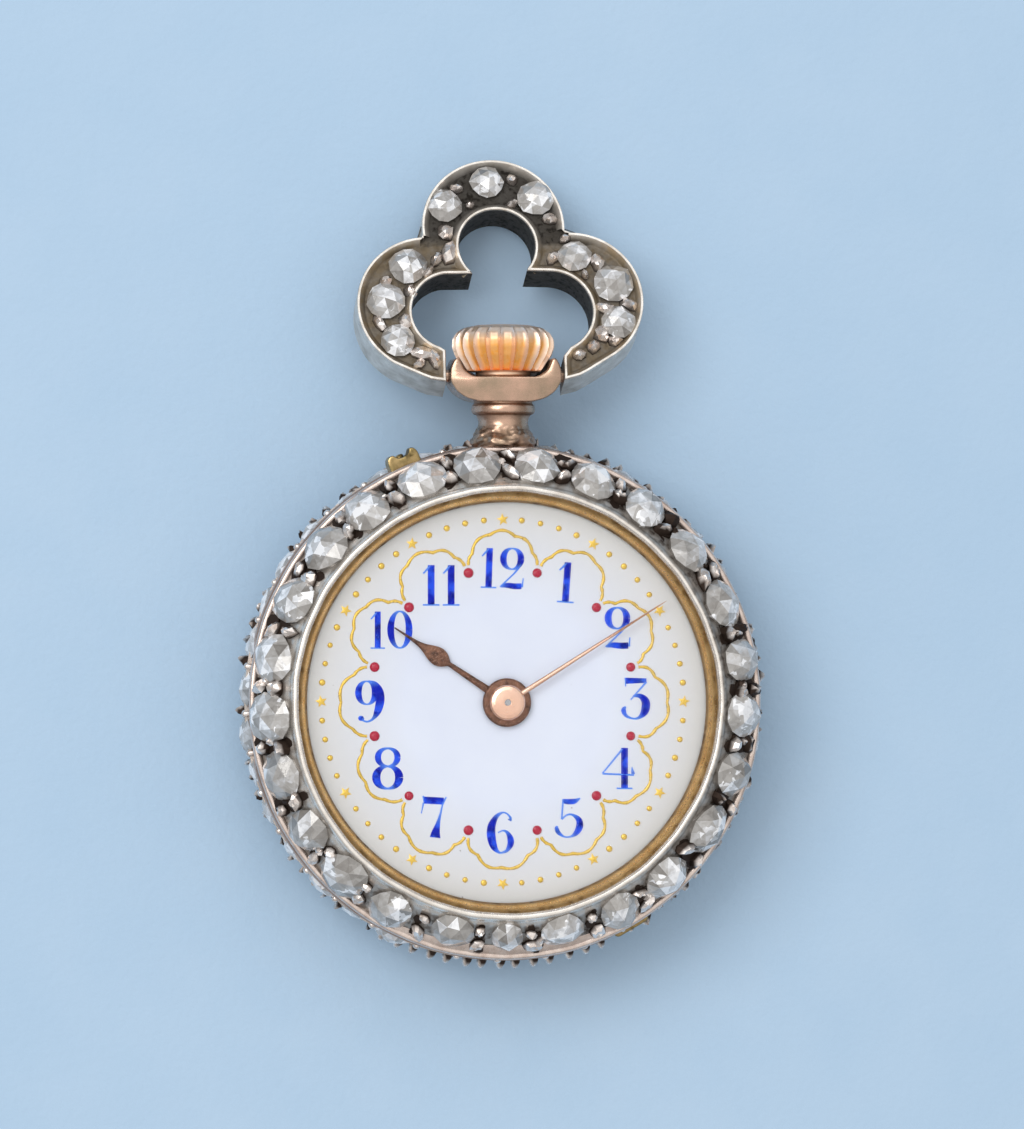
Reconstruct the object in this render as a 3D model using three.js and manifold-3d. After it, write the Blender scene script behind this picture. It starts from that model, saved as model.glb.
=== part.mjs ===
// A lady's keyless fob watch: a domed case paved with rose-cut stones, a stone-set bezel and
// trefoil bow, a ribbed crown, a hand-setting push pin, an enamel dial and the lever movement inside.
// Millimetres. The case lies on its back: +Z is the dial's normal, +Y runs to 12 o'clock and the
// origin is the centre of the flat on which the back rests.
import * as THREE from "three";
import { mergeVertices } from "three/addons/utils/BufferGeometryUtils.js";
import Module from "manifold-3d";

const wasm = await Module();
wasm.setup();
const { PI, sin, cos, hypot, atan2 } = Math;
const rad = THREE.MathUtils.degToRad;

// ---- driving dimensions ----
const CASE = {
  middleRadius: 12.7, // outside of the case middle
  bore: 10.55, // inside of the case middle, round the movement
  backSeam: 3.6, // height of the joint between back cover and case middle
  frontSeam: 5.4, // height of the joint between case middle and bezel
  facets: 40,
};
const PLAY = 0.03; // gap left between pieces that touch
const STEM_Z = 4.5; // height of the winding stem, the pendant and the bow's pivots
const BACK = {
  flatRadius: 4.5,
  rimRadius: 12.75,
  skin: 0.3, // room left under the metal for the stones
  thickness: 0.35,
  stoneRim: 13.1,
  stoneRise: 2.95, // height of the topmost row of stones
};
const CUVETTE = { flatRadius: 5, rimRadius: 11.55, underside: 0.9, thickness: 0.25 };
const BEZEL = { rimRadius: 12.68, coneTopRadius: 11.05, coneTop: 7.35, lipRadius: 10.55, top: 7.62 };
const STONES = { count: 25, phase: 7.3, radius: 1.02, height: 0.55 };
// Both covers hinge at 9 o'clock, on knuckles kept inside the outline of the case.
const HINGE = { reach: 12.3, barrel: 0.25, pin: 0.11, halfLength: 1.8, middle: 0.7, flatHalfWidth: 3.4 };
const DIAL = { radius: 10.35, underside: 5.75, face: 6.25, hole: 0.85 };
const PLATE = { radius: 10.45, flangeRadius: 10.95, underside: 4.05, step: 4.73, face: 4.85 };
const BRIDGE = { radius: 9.3, underside: 1.87, face: 2.5 };
const PENDANT = { headHalfWidth: 2.76, headHalfDepth: 1.6, bore: 0.47, foot: 12.75 };
const BOW = {
  y: 16.13, // distance of its pivots from the centre of the dial
  tilt: 18, // degrees that it leans back at rest
  lean: 3.5, // degrees that it is bent to one side
  depth: 2.4,
  gapHalfWidth: 2.9,
  pinRadius: 0.33,
  pinEnd: 3.3,
};
const CROWN = { radius: 2.47, valley: 2.22, ribs: 22, foot: 16.3, top: 18.7, bore: 0.39 };
const STEM_RADIUS = 0.35;
const SETTING_ANGLE = 23; // degrees from 12 o'clock towards 11
const LIP_ANGLE = -149.6; // the back cover's thumb lip, at 5 o'clock
const HANDS = { minute: 57.5, hour: 303.6 }; // degrees clockwise from 12

// Movement layout: wheel centres in the plane of the dial.
const CENTRE = [0, 0];
const BARREL = [-3.4, 2.64];
const CROWN_WHEEL = [0, 6.75];
const polar = (from, distance, degrees) => [
  from[0] + distance * cos(rad(degrees)),
  from[1] + distance * sin(rad(degrees)),
];
const THIRD = polar(CENTRE, 3.65, -20);
const FOURTH = polar(THIRD, 3.0, -130);
const ESCAPE = polar(FOURTH, 2.75, -165);
const BALANCE = [-5.3, -4.4];
const PALLET = [-2.9, -5.7];
const MINUTE_WHEEL = polar(CENTRE, 2.6, 110);
const SETTING_WHEEL = polar(MINUTE_WHEEL, 3.12, 79);
const CLICK = polar(BARREL, 4.3, 120);
const CASE_SCREWS = [polar(CENTRE, 10.6, 30), polar(CENTRE, 10.6, 210)];

// ---- materials ----
const paint = (color, roughness = 0.35, metalness = 1) =>
  new THREE.MeshStandardMaterial({ color, roughness, metalness });
const SILVER = paint(0xb9b5ad, 0.3);
const ROSE_GOLD = paint(0xc98d6b, 0.28);
const YELLOW_GOLD = paint(0xb98b3c, 0.35);
const OXIDISED_GOLD = paint(0x5c3a2a, 0.5);
const DIAMOND = paint(0xdfe4e8, 0.08, 0);
const GLASS = new THREE.MeshStandardMaterial({
  color: 0xf6fafc,
  roughness: 0.03,
  metalness: 0,
  transparent: true,
  opacity: 0.2,
});
const ENAMEL = paint(0xe6e6ea, 0.15, 0);
const GILT = paint(0xc9a45c, 0.4);
const BRASS = paint(0xb5914c, 0.35);
const STEEL = paint(0x8f959b, 0.25);
const BLUED = paint(0x1f2f6b, 0.3);

// ---- solids ----
// A closed three.js geometry as a manifold-3d solid with its faces pointing out.
function solid(geometry) {
  const bare = new THREE.BufferGeometry()
    .setAttribute("position", geometry.getAttribute("position"))
    .setIndex(geometry.index);
  const merged = mergeVertices(bare, 1e-5);
  const corners = [];
  for (let i = 0; i < merged.index.count; i += 3) {
    const [a, b, c] = [0, 1, 2].map((k) => merged.index.getX(i + k));
    if (a !== b && b !== c && c !== a) corners.push(a, b, c);
  }
  const build = (triVerts) =>
    new wasm.Manifold(
      new wasm.Mesh({
        numProp: 3,
        vertProperties: new Float32Array(merged.attributes.position.array),
        triVerts: new Uint32Array(triVerts),
      }),
    );
  const made = build(corners);
  return made.volume() < 0 ? build(corners.reverse()) : made;
}

// Turns a profile of [radius, height] pairs about Z. A profile closes on itself or on the axis.
function turned(profile, segments = CASE.facets) {
  const onAxis = profile[0][0] === 0 && profile.at(-1)[0] === 0;
  const points = (onAxis ? profile : [...profile, profile[0]]).map(([r, z]) => new THREE.Vector2(r, z));
  return solid(new THREE.LatheGeometry(points, segments).rotateX(PI / 2));
}

const shapeOf = (points) => new THREE.Shape(points.map(([x, y]) => new THREE.Vector2(x, y)));

// A flat outline, extruded from height z0 to height z1.
function plate(outline, z0, z1, curveSegments = 12) {
  const shape = outline instanceof THREE.Shape ? outline : shapeOf(outline);
  const geometry = new THREE.ExtrudeGeometry(shape, { depth: z1 - z0, bevelEnabled: false, curveSegments });
  return solid(geometry.translate(0, 0, z0));
}

const cylinder = (r, z0, z1, [x, y] = CENTRE, segments = 16) =>
  turned([[0, z0], [r, z0], [r, z1], [0, z1]], segments).translate([x, y, 0]);
const washer = (inner, outer, z0, z1, [x, y] = CENTRE, segments = 24) =>
  turned([[inner, z0], [outer, z0], [outer, z1], [inner, z1]], segments).translate([x, y, 0]);
const box = (x0, x1, y0, y1, z0, z1) => plate([[x0, y0], [x1, y0], [x1, y1], [x0, y1]], z0, z1);
// A cylinder along X, centred on the given y and z.
const crossRod = (r, x0, x1, y, z, segments = 12) =>
  cylinder(r, x0, x1, CENTRE, segments).rotate([0, 90, 0]).translate([0, y, z]);
// A body turned about Y: its profile's height runs along +Y, on the stem's axis.
const turnedOnStem = (profile, segments) =>
  turned(profile, segments).rotate([-90, 0, 0]).translate([0, 0, STEM_Z]);
// A flat outline extruded along the stem's axis, from one distance to another.
const onStem = (outline, from, to) => plate(outline, from, to).rotate([-90, 0, 0]).translate([0, 0, STEM_Z]);
const join = (...parts) => parts.reduce((a, b) => a.add(b));
const cut = (body, ...tools) => tools.reduce((a, b) => a.subtract(b), body);
const aboutZ = (body, degrees) => body.rotate([0, 0, degrees]);

const group = new THREE.Group();

// Adds a solid to the object as a named mesh.
function add(name, body, material, parent = group) {
  const { vertProperties, triVerts, numProp, numVert } = body.getMesh();
  const position = new Float32Array(numVert * 3);
  for (let i = 0; i < numVert; i++) {
    position.set(vertProperties.subarray(i * numProp, i * numProp + 3), i * 3);
  }
  const geometry = new THREE.BufferGeometry()
    .setAttribute("position", new THREE.BufferAttribute(position, 3))
    .setIndex(new THREE.BufferAttribute(triVerts, 1));
  geometry.computeVertexNormals();
  const mesh = new THREE.Mesh(geometry, material);
  mesh.name = name;
  parent.add(mesh);
  return mesh;
}

// The curve of a bassine back: flat in the middle, then a quarter ellipse up to the rim.
function dome(flatRadius, rimRadius, low, high, steps = 5) {
  const curve = Array.from({ length: steps + 1 }, (_, i) => {
    const a = (PI / 2) * (i / steps);
    return [flatRadius + (rimRadius - flatRadius) * sin(a), low + (high - low) * (1 - cos(a))];
  });
  return [[0, low], ...curve];
}

// A rose-cut stone: flat base, a belt of steep facets and a low six-sided crown.
function roseCut(radius, height) {
  const belt = { radius: 0.62, height: 0.68, turn: 30 };
  const ring = (r, z, turn) =>
    Array.from({ length: 6 }, (_, i) => [r * cos(rad(60 * i + turn)), r * sin(rad(60 * i + turn)), z]);
  const points = [
    ...ring(radius, 0, 0),
    ...ring(radius * belt.radius, height * belt.height, belt.turn),
    [0, 0, height],
  ];
  return wasm.Manifold.hull(points);
}

// ---- hinges ----
// The knuckles lie along X at y = -HINGE.reach; covers are turned to 9 o'clock once built.
const HINGE_TURN = -90;
const COVER_SPANS = [[HINGE.middle + PLAY, HINGE.halfLength], [-HINGE.halfLength, -HINGE.middle - PLAY]];
const CASE_SPANS = [[-HINGE.middle, HINGE.middle]];
const widened = (spans) => spans.map(([x0, x1]) => [x0 - 2 * PLAY, x1 + 2 * PLAY]);
const knuckles = (spans, r, z) => join(...spans.map(([x0, x1]) => crossRod(r, x0, x1, -HINGE.reach, z)));
const hingeHole = (z) => crossRod(HINGE.pin + 0.02, -3, 3, -HINGE.reach, z);
// Webs that root a row of knuckles in the metal next to it, between two radii and two heights.
const webs = (spans, inner, z0, z1) =>
  join(...spans.map(([x0, x1]) => box(x0, x1, -HINGE.reach, -inner, z0, z1)));
const hingePin = (z) =>
  aboutZ(crossRod(HINGE.pin, -HINGE.halfLength, HINGE.halfLength, -HINGE.reach, z), HINGE_TURN);

// A radial hole at 12 o'clock, at the height of the stem.
const radialHole = (r, from = 9, to = 14) => turnedOnStem([[0, from], [r, from], [r, to], [0, to]], 14);

// ---- case ----
function caseMiddle() {
  const { middleRadius, bore, backSeam, frontSeam } = CASE;
  const ledge = PLATE.flangeRadius + 0.05;
  const ring = turned([
    [bore, backSeam + PLAY],
    [middleRadius, backSeam + PLAY],
    [middleRadius, frontSeam - PLAY],
    [ledge, frontSeam - PLAY],
    [ledge, PLATE.step - PLAY],
    [bore, PLATE.step - PLAY],
  ]);
  const w = HINGE.flatHalfWidth;
  // A flat behind the hinge lets the rims of the two covers swing past.
  const flat = box(-w, w, -14, -HINGE.reach, backSeam - 1, frontSeam + 1);
  const rooms = [backSeam, frontSeam].map((z) => knuckles(widened(COVER_SPANS), HINGE.barrel + 0.05, z));
  const barrels = [backSeam, frontSeam].map((z) => knuckles(CASE_SPANS, HINGE.barrel, z));
  const holes = [backSeam, frontSeam].map(hingeHole);
  const hinged = aboutZ(cut(join(cut(ring, flat, ...rooms), ...barrels), ...holes), HINGE_TURN);
  const screwHoles = CASE_SCREWS.map((at) => cylinder(0.22, 3.8, 6, at, 10));
  return cut(hinged, ...screwHoles, radialHole(PENDANT.bore), aboutZ(radialHole(0.27), SETTING_ANGLE));
}

function backCover() {
  const { flatRadius, rimRadius, skin, thickness } = BACK;
  const z = CASE.backSeam;
  const rim = z - PLAY;
  const shell = turned([
    ...dome(flatRadius, rimRadius, skin, rim),
    ...dome(flatRadius, rimRadius - thickness, skin + thickness, rim).reverse(),
  ]);
  const room = knuckles(widened(CASE_SPANS), HINGE.barrel + 0.05, z);
  const ears = join(knuckles(COVER_SPANS, HINGE.barrel, z), webs(COVER_SPANS, 12.05, z - 0.5, rim));
  const hinged = aboutZ(cut(join(shell, ears), room, hingeHole(z)), HINGE_TURN);
  const lip = aboutZ(box(-0.95, 0.95, 12.5, 12.98, z - 0.4, rim), LIP_ANGLE);
  return join(hinged, lip);
}

// The back is set all over with small stones, here one layer over the metal.
function backStones() {
  const { flatRadius, rimRadius, skin, stoneRim, stoneRise } = BACK;
  const layer = turned([...dome(flatRadius, stoneRim, 0, stoneRise), [0, stoneRise]], 40);
  const seam = CASE.backSeam;
  const metal = turned([...dome(flatRadius, rimRadius + PLAY, skin - PLAY, seam), [0, seam]]);
  return cut(layer, metal);
}

// The dust cap: a plain inner cover that snaps into the case middle.
function dustCap() {
  const { flatRadius, rimRadius, underside, thickness } = CUVETTE;
  const rim = CASE.backSeam;
  return turned([
    ...dome(flatRadius, rimRadius, underside, rim),
    ...dome(flatRadius, rimRadius - thickness, underside + thickness, rim).reverse(),
  ]);
}

// ---- bezel ----
function bezel() {
  const { rimRadius, coneTopRadius, coneTop, lipRadius, top } = BEZEL;
  const base = CASE.frontSeam + PLAY;
  const ring = turned([
    [11.15, base],
    [rimRadius, base],
    [rimRadius, base + 0.32],
    [rimRadius - 0.22, base + 0.42],
    [coneTopRadius, coneTop],
    [coneTopRadius - 0.05, top - 0.08],
    [coneTopRadius - 0.18, top],
    [lipRadius + 0.08, top],
    [lipRadius, top - 0.12],
    [lipRadius, 6.36],
    [11.15, 6.36],
  ]);
  const z = CASE.frontSeam;
  const room = knuckles(widened(CASE_SPANS), HINGE.barrel + 0.05, z);
  const ears = join(knuckles(COVER_SPANS, HINGE.barrel, z), webs(COVER_SPANS, 12.1, base, base + 0.3));
  return aboutZ(cut(join(ring, ears), room, hingeHole(z)), HINGE_TURN);
}

// The bezel's stones stand on its cone, linked by the thin belt that they are set in.
const CONE_LOW = [BEZEL.rimRadius - 0.22, CASE.frontSeam + PLAY + 0.42];
const CONE_SLOPE = atan2(BEZEL.coneTop - CONE_LOW[1], CONE_LOW[0] - BEZEL.coneTopRadius);
function onCone(along, proud) {
  return [
    CONE_LOW[0] - along * cos(CONE_SLOPE) + proud * sin(CONE_SLOPE),
    CONE_LOW[1] + along * sin(CONE_SLOPE) + proud * cos(CONE_SLOPE),
  ];
}
function bezelStones() {
  const belt = turned([onCone(0.25, PLAY), onCone(0.25, 0.12), onCone(1.75, 0.12), onCone(1.75, PLAY)], 50);
  const [reach, height] = onCone(1.0, 0.06);
  const stones = Array.from({ length: STONES.count }, (_, i) => {
    const stone = roseCut(STONES.radius, STONES.height)
      .scale([1.02, 0.94, 1])
      .rotate([-THREE.MathUtils.radToDeg(CONE_SLOPE), 0, 0])
      .translate([0, reach, height]);
    return aboutZ(stone, -STONES.phase - (360 / STONES.count) * i);
  });
  return join(belt, ...stones);
}

const bezelRing = () =>
  turned([[9.8, 6.42], [10.5, 6.42], [10.5, 7.04], [10.32, 7.04], [9.86, 6.62]]);
const crystal = () =>
  turned([
    [0, 7.6], [5, 7.5], [8, 7.3], [10.05, 7.07], [10.5, 7.07],
    [10.5, 7.3], [10.1, 7.48], [8, 7.78], [5, 8.0], [0, 8.1],
  ]);

// ---- pendant, crown and setting pin ----
function pendant() {
  const { headHalfWidth: w, headHalfDepth: d, bore, foot } = PENDANT;
  const neck = turnedOnStem(
    [
      [bore, foot], [1.55, foot], [1.36, foot + 0.5], [1.28, foot + 1.05], [1.32, foot + 1.4],
      [1.45, 14.28], [1.58, 14.36], [1.58, 14.74], [1.45, 14.82], [1.45, 15.2], [bore, 15.2],
    ],
    24,
  );
  const half = [
    [1.5, 14.8], [2.35, 15.12], [w, 15.62], [w, 16.62], [2.52, 16.94],
    [2.28, 16.94], [2.1, 16.42], [1.72, 16.1],
  ];
  const outline = [...half, ...half.map(([x, y]) => [-x, y]).reverse()];
  const head = plate(outline, STEM_Z - d, STEM_Z + d);
  // The head's front and back are barrel-shaped.
  const barrel = crossRod(1.95, -3, 3, 15.9, STEM_Z, 28);
  const hollow = turnedOnStem([[0, 10], [bore, 10], [bore, 18], [0, 18]], 14);
  const pinHoles = crossRod(BOW.pinRadius + 0.02, -4, 4, BOW.y, STEM_Z);
  const base = turned([[0, 0], [foot, 0], [foot, 9], [0, 9]], 96);
  return cut(join(neck, head.intersect(barrel)), base, hollow, pinHoles);
}

function crown() {
  const { radius, valley, ribs, foot, top, bore } = CROWN;
  const points = Array.from({ length: ribs * 2 }, (_, i) => {
    const r = i % 2 ? valley : radius;
    return [r * cos((PI * i) / ribs), r * sin((PI * i) / ribs)];
  });
  const star = onStem(points, foot, top);
  const envelope = turnedOnStem(
    [
      [0, foot], [1.8, foot], [2.14, foot + 0.6], [2.47, foot + 1.15],
      [2.42, top - 0.7], [2.05, top - 0.25], [1.3, top], [0, top],
    ],
    ribs,
  );
  const collar = turnedOnStem([[0, 16.14], [1.08, 16.14], [1.08, foot + 0.1], [0, foot + 0.1]], 20);
  const hole = turnedOnStem([[0, 16], [bore, 16], [bore, 17.6], [0, 17.6]], 14);
  return cut(join(star.intersect(envelope), collar), hole);
}

// The stem, with the winding pinion made fast on it.
function windingStem() {
  const rod = turnedOnStem([[0, 6.3], [STEM_RADIUS, 6.3], [STEM_RADIUS, 17.5], [0, 17.5]], 12);
  return join(rod, onStem(toothed(14, 0.95, 1.15, 0.6), 7.6, 8.2));
}

// The guard on the case middle: a gold block hollowed to a trough round the setting pin.
function settingGuard() {
  const w = 0.85;
  const inner = CASE.middleRadius - 0.2;
  const outline = [
    [-w, inner], [w, inner], [w, 13.0], [w - 0.18, 13.15], [0.48, 13.15],
    [0.34, 12.95], [-0.34, 12.95], [-0.48, 13.15], [-w + 0.18, 13.15], [-w, 13.0],
  ];
  const block = plate(outline, CASE.backSeam + 0.12, CASE.frontSeam - 0.06);
  const { middleRadius } = CASE;
  const seat = turned([[0, 0], [middleRadius + PLAY, 0], [middleRadius + PLAY, 9], [0, 9]], 192);
  return aboutZ(cut(block, seat, radialHole(0.26)), SETTING_ANGLE);
}
const SETTING_PIN = { radius: 0.22, inner: 9.85, tip: 13.3 };
const settingPin = () => {
  const { radius, inner, tip } = SETTING_PIN;
  const chamfer = 0.08;
  const rod = turnedOnStem(
    [[0, inner], [radius, inner], [radius, tip - chamfer], [radius - chamfer, tip], [0, tip]],
    14,
  );
  return aboutZ(rod, SETTING_ANGLE);
};

// ---- bow ----
// Half of the trefoil, in the bow's own plane with the pivots' line as y = 0. The lobes are arcs.
const TOP_LOBE = { y: 7.46, outer: 3.56, innerY: 6.47, inner: 1.9 };
const SIDE_LOBE = { x: 3.56, y: 3.4, outer: 3.57, innerX: 2.45, innerY: 3.08, inner: 2.02 };
function bowSide() {
  const [top, side] = [TOP_LOBE, SIDE_LOBE];
  const arc = (x, y, r, from, to, steps) =>
    Array.from({ length: steps + 1 }, (_, i) => {
      const a = rad(from + ((to - from) * i) / steps);
      return [x + r * cos(a), y + r * sin(a)];
    });
  return [
    ...arc(0, top.y, top.outer, 90, -8, 10),
    ...arc(side.x, side.y, side.outer, 91, -57, 14),
    [4.13, -0.4],
    [3.7, -0.62],
    [BOW.gapHalfWidth, -0.84],
    [BOW.gapHalfWidth, 0.96],
    ...arc(side.innerX, side.innerY, side.inner, -67, 84, 12),
    [1.36, 5.07],
    ...arc(0, top.innerY, top.inner, -42, 90, 9),
  ];
}
function bow() {
  const right = bowSide();
  const left = right.slice(1, -1).map(([x, y]) => [-x, y]).reverse();
  const h = BOW.depth / 2;
  const holeEnd = BOW.pinEnd + 0.1;
  const holes = crossRod(BOW.pinRadius + 0.04, -holeEnd, holeEnd, 0, 0);
  const plan = aboutZ(plate([...right, ...left], -h, h), BOW.lean);
  // The lean leaves the two end faces square to the pivots.
  const mouth = box(-BOW.gapHalfWidth, BOW.gapHalfWidth, -3, 1.3, -h - 1, h + 1);
  return cut(plan, mouth, holes).rotate([-BOW.tilt, 0, 0]).translate([0, BOW.y, STEM_Z]);
}
// The pivots: plain pins, fast in the pendant's head.
const bowPin = (side) => {
  const pin = crossRod(BOW.pinRadius, 2.3, BOW.pinEnd, BOW.y, STEM_Z);
  return side < 0 ? pin.mirror([1, 0, 0]) : pin;
};

// ---- wheels ----
// A toothed outline. Fine wheels get pointed teeth; pinions, with a share under 1, flat-topped leaves.
function toothed(teeth, root, tip, share = 1, phase = 0) {
  const pitch = (2 * PI) / teeth;
  const at = (r, a) => [r * cos(a), r * sin(a)];
  return Array.from({ length: teeth }, (_, i) => {
    const a = phase + i * pitch;
    const w = pitch * share * 0.5;
    if (share === 1) return [at(root, a - w), at(tip, a)];
    return [at(root, a - w), at(tip, a - w * 0.3), at(tip, a + w * 0.3), at(root, a + w)];
  }).flat();
}
const wheel = (teeth, root, tip, z0, z1, [x, y], { hole = 0, share, phase } = {}) => {
  const blank = plate(toothed(teeth, root, tip, share, phase), z0, z1).translate([x, y, 0]);
  return hole ? cut(blank, cylinder(hole, z0 - 1, z1 + 1, [x, y])) : blank;
};

// A pivoted arbor between bridge and plate, with its pinion on it.
function arbor(at, leaves, root, tip, [p0, p1], phase = 0) {
  const staff = cylinder(0.12, BRIDGE.face + 0.04, PLATE.underside - 0.04, at, 8);
  const pivots = cylinder(0.06, BRIDGE.face - 0.26, PLATE.underside + 0.26, at, 8);
  return join(staff, pivots, wheel(leaves, root, tip, p0, p1, at, { share: 0.5, phase }));
}
const gear = (teeth, module, z0, z1, at, options = {}) => {
  const pitchRadius = (teeth * module) / 2;
  return wheel(teeth, pitchRadius - 0.75 * module, pitchRadius + 0.45 * module, z0, z1, at, options);
};
// The phase at which a gear's tooth, or its gap, points from its centre towards another point.
const facing = (from, to) => atan2(to[1] - from[1], to[0] - from[0]);
const toothAt = (from, to) => facing(from, to);
const gapAt = (from, to, teeth) => facing(from, to) + PI / teeth;
const crossings = (body, arms, inner, outer, z0, z1, at, spoke = 0.16) => {
  const windows = Array.from({ length: arms }, (_, i) => {
    const a = (2 * PI * i) / arms;
    const b = (2 * PI * (i + 1)) / arms;
    const point = (r, angle, side) => {
      const lean = side * Math.asin(spoke / r);
      return [at[0] + r * cos(angle + lean), at[1] + r * sin(angle + lean)];
    };
    const rim = [point(outer, a, 1), point(outer, (a + b) / 2, 0), point(outer, b, -1)];
    const outline = [point(inner, a, 1), ...rim, point(inner, b, -1)];
    return plate(outline, z0 - 0.1, z1 + 0.1);
  });
  return cut(body, ...windows);
};

// ---- going train ----
const MODULE = {
  barrel: 0.0957,
  third: 0.1014,
  fourth: 0.0882,
  escape: 0.0714,
  keyless: 0.1503,
  motion: 0.13,
};

function barrelDrum() {
  const teeth = gear(80, MODULE.barrel, 3.25, 3.6, BARREL, { phase: gapAt(BARREL, CENTRE, 80) });
  const wall = cylinder(3.62, 2.95, 3.4, BARREL, 32);
  return cut(join(teeth, wall), cylinder(3.3, 2, 3.5, BARREL, 32), cylinder(0.64, 2, 4, BARREL));
}
// A flat coil of ribbon, from the inner to the outer radius.
function coil(inner, outer, turns, width, z0, z1, at, perTurn = 12) {
  const count = Math.round(turns * perTurn);
  const along = (i, offset) => {
    const r = inner + ((outer - inner) * i) / count + offset;
    const a = (2 * PI * i) / perTurn;
    return [at[0] + r * cos(a), at[1] + r * sin(a)];
  };
  const steps = Array.from({ length: count + 1 }, (_, i) => i);
  return plate([...steps.map((i) => along(i, width)), ...steps.reverse().map((i) => along(i, 0))], z0, z1);
}
const barrelArbor = () =>
  join(
    cylinder(0.6, 2.9, 3.64, BARREL),
    cylinder(0.48, 2.56, 3.0, BARREL),
    cylinder(0.33, 2.1, 2.7, BARREL),
    cylinder(0.33, 3.6, 4.4, BARREL),
  );
const ratchetWheel = () =>
  gear(45, MODULE.keyless, 2.6, 2.85, BARREL, { hole: 0.5, phase: toothAt(BARREL, CROWN_WHEEL) });
function crownWheel() {
  const phase = gapAt(CROWN_WHEEL, BARREL, 26);
  const flat = gear(26, MODULE.keyless, 2.6, 2.85, CROWN_WHEEL, { phase });
  const contrate = wheel(14, 1.02, 1.4, 2.8, 3.3, CROWN_WHEEL, { phase: PI / 14 });
  return cut(join(flat, contrate), cylinder(0.52, 2, 4, CROWN_WHEEL));
}
function click() {
  const towards = (distance, side) => {
    const a = facing(CLICK, BARREL);
    return [CLICK[0] + distance * cos(a) - side * sin(a), CLICK[1] + distance * sin(a) + side * cos(a)];
  };
  const outline = [towards(0, 0.42), towards(0, -0.42), towards(0.79, 0.5), towards(0.76, 0.8)];
  const pawl = plate(outline, 2.56, 2.8);
  return join(cylinder(0.42, 2.56, 2.8, CLICK), pawl);
}

// A crossed-out wheel riveted to its arbor.
function trainWheel(teeth, module, z, at, next, staff, arms = 4) {
  const blank = gear(teeth, module, z, z + 0.12, at, { phase: toothAt(at, next) });
  return join(crossings(blank, arms, 0.6, (teeth * module) / 2 - 0.5, z, z + 0.12, at, 0.13), staff);
}
function centreWheel() {
  const pinion = gear(10, MODULE.barrel, 2.95, 3.62, CENTRE, { share: 0.5, phase: toothAt(CENTRE, BARREL) });
  const staff = join(cylinder(0.1, 2.1, 2.7, CENTRE, 8), cylinder(0.22, 2.54, 7.02), cylinder(0.14, 7, 7.08));
  return trainWheel(64, MODULE.third, 3.72, CENTRE, THIRD, join(pinion, staff));
}
const thirdWheel = () => {
  const staff = arbor(THIRD, 8, 0.3, 0.44, [3.66, 3.98], gapAt(THIRD, CENTRE, 8));
  return trainWheel(60, MODULE.fourth, 3.1, THIRD, FOURTH, staff);
};
const fourthWheel = () => {
  const staff = arbor(FOURTH, 8, 0.26, 0.38, [3.0, 3.35], gapAt(FOURTH, THIRD, 8));
  return trainWheel(70, MODULE.escape, 3.5, FOURTH, ESCAPE, staff);
};
const escapeWheel = () => {
  const staff = arbor(ESCAPE, 7, 0.18, 0.28, [3.4, 3.68], gapAt(ESCAPE, FOURTH, 7));
  const blank = wheel(15, 1.02, 1.3, 3.0, 3.12, ESCAPE, { share: 0.4, phase: toothAt(ESCAPE, PALLET) });
  return join(crossings(blank, 4, 0.38, 0.8, 3, 3.12, ESCAPE, 0.09), staff);
};

// The lever, with its two pallet arms on the escape wheel and its fork on the balance.
function lever() {
  const z = [3.0, 3.14];
  const toWheel = facing(PALLET, ESCAPE);
  const toBalance = facing(PALLET, BALANCE);
  const from = (angle, distance, side) => [
    PALLET[0] + distance * cos(angle) - side * sin(angle),
    PALLET[1] + distance * sin(angle) + side * cos(angle),
  ];
  const anchor = plate(
    [
      from(toWheel, -0.25, 0), from(toWheel, 0, -0.3), from(toWheel, 0.75, -1.15), from(toWheel, 1.05, -1.15),
      from(toWheel, 1.05, -0.95), from(toWheel, 0.45, -0.25), from(toWheel, 0.45, 0.25),
      from(toWheel, 1.05, 0.95), from(toWheel, 1.05, 1.15), from(toWheel, 0.75, 1.15), from(toWheel, 0, 0.3),
    ],
    ...z,
  );
  const fork = plate(
    [
      from(toBalance, 0, -0.12), from(toBalance, 1.9, -0.07), from(toBalance, 2.28, -0.24),
      from(toBalance, 2.28, -0.1), from(toBalance, 2.12, 0), from(toBalance, 2.28, 0.1),
      from(toBalance, 2.28, 0.24), from(toBalance, 1.9, 0.07), from(toBalance, 0, 0.12),
    ],
    ...z,
  );
  const staff = join(cylinder(0.1, 2.95, 4.0, PALLET, 10), cylinder(0.05, 2.7, 4.25, PALLET, 10));
  return join(anchor, fork, staff);
}

function balance() {
  const rim = crossings(cylinder(2.05, 2.62, 2.88, BALANCE, 28), 2, 0.35, 1.8, 2.6, 2.9, BALANCE, 0.14);
  const screws = Array.from({ length: 8 }, (_, i) => {
    const peg = cylinder(0.11, 1.95, 2.25, CENTRE, 6).rotate([0, 90, 0]).rotate([0, 0, 22.5 + 45 * i]);
    return peg.translate([BALANCE[0], BALANCE[1], 2.75]);
  });
  const staff = join(
    cylinder(0.1, 2.45, 4.0, BALANCE, 10),
    cylinder(0.05, 2.2, 4.25, BALANCE, 10),
    cylinder(0.45, 3.2, 3.3, BALANCE, 20),
  );
  const pinAt = polar(BALANCE, 0.36, (facing(BALANCE, PALLET) * 180) / PI);
  return join(rim, ...screws, staff, cylinder(0.05, 2.97, 3.25, pinAt, 8));
}
const hairspring = () => coil(0.22, 1.05, 4, 0.04, 2.46, 2.56, BALANCE);

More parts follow.
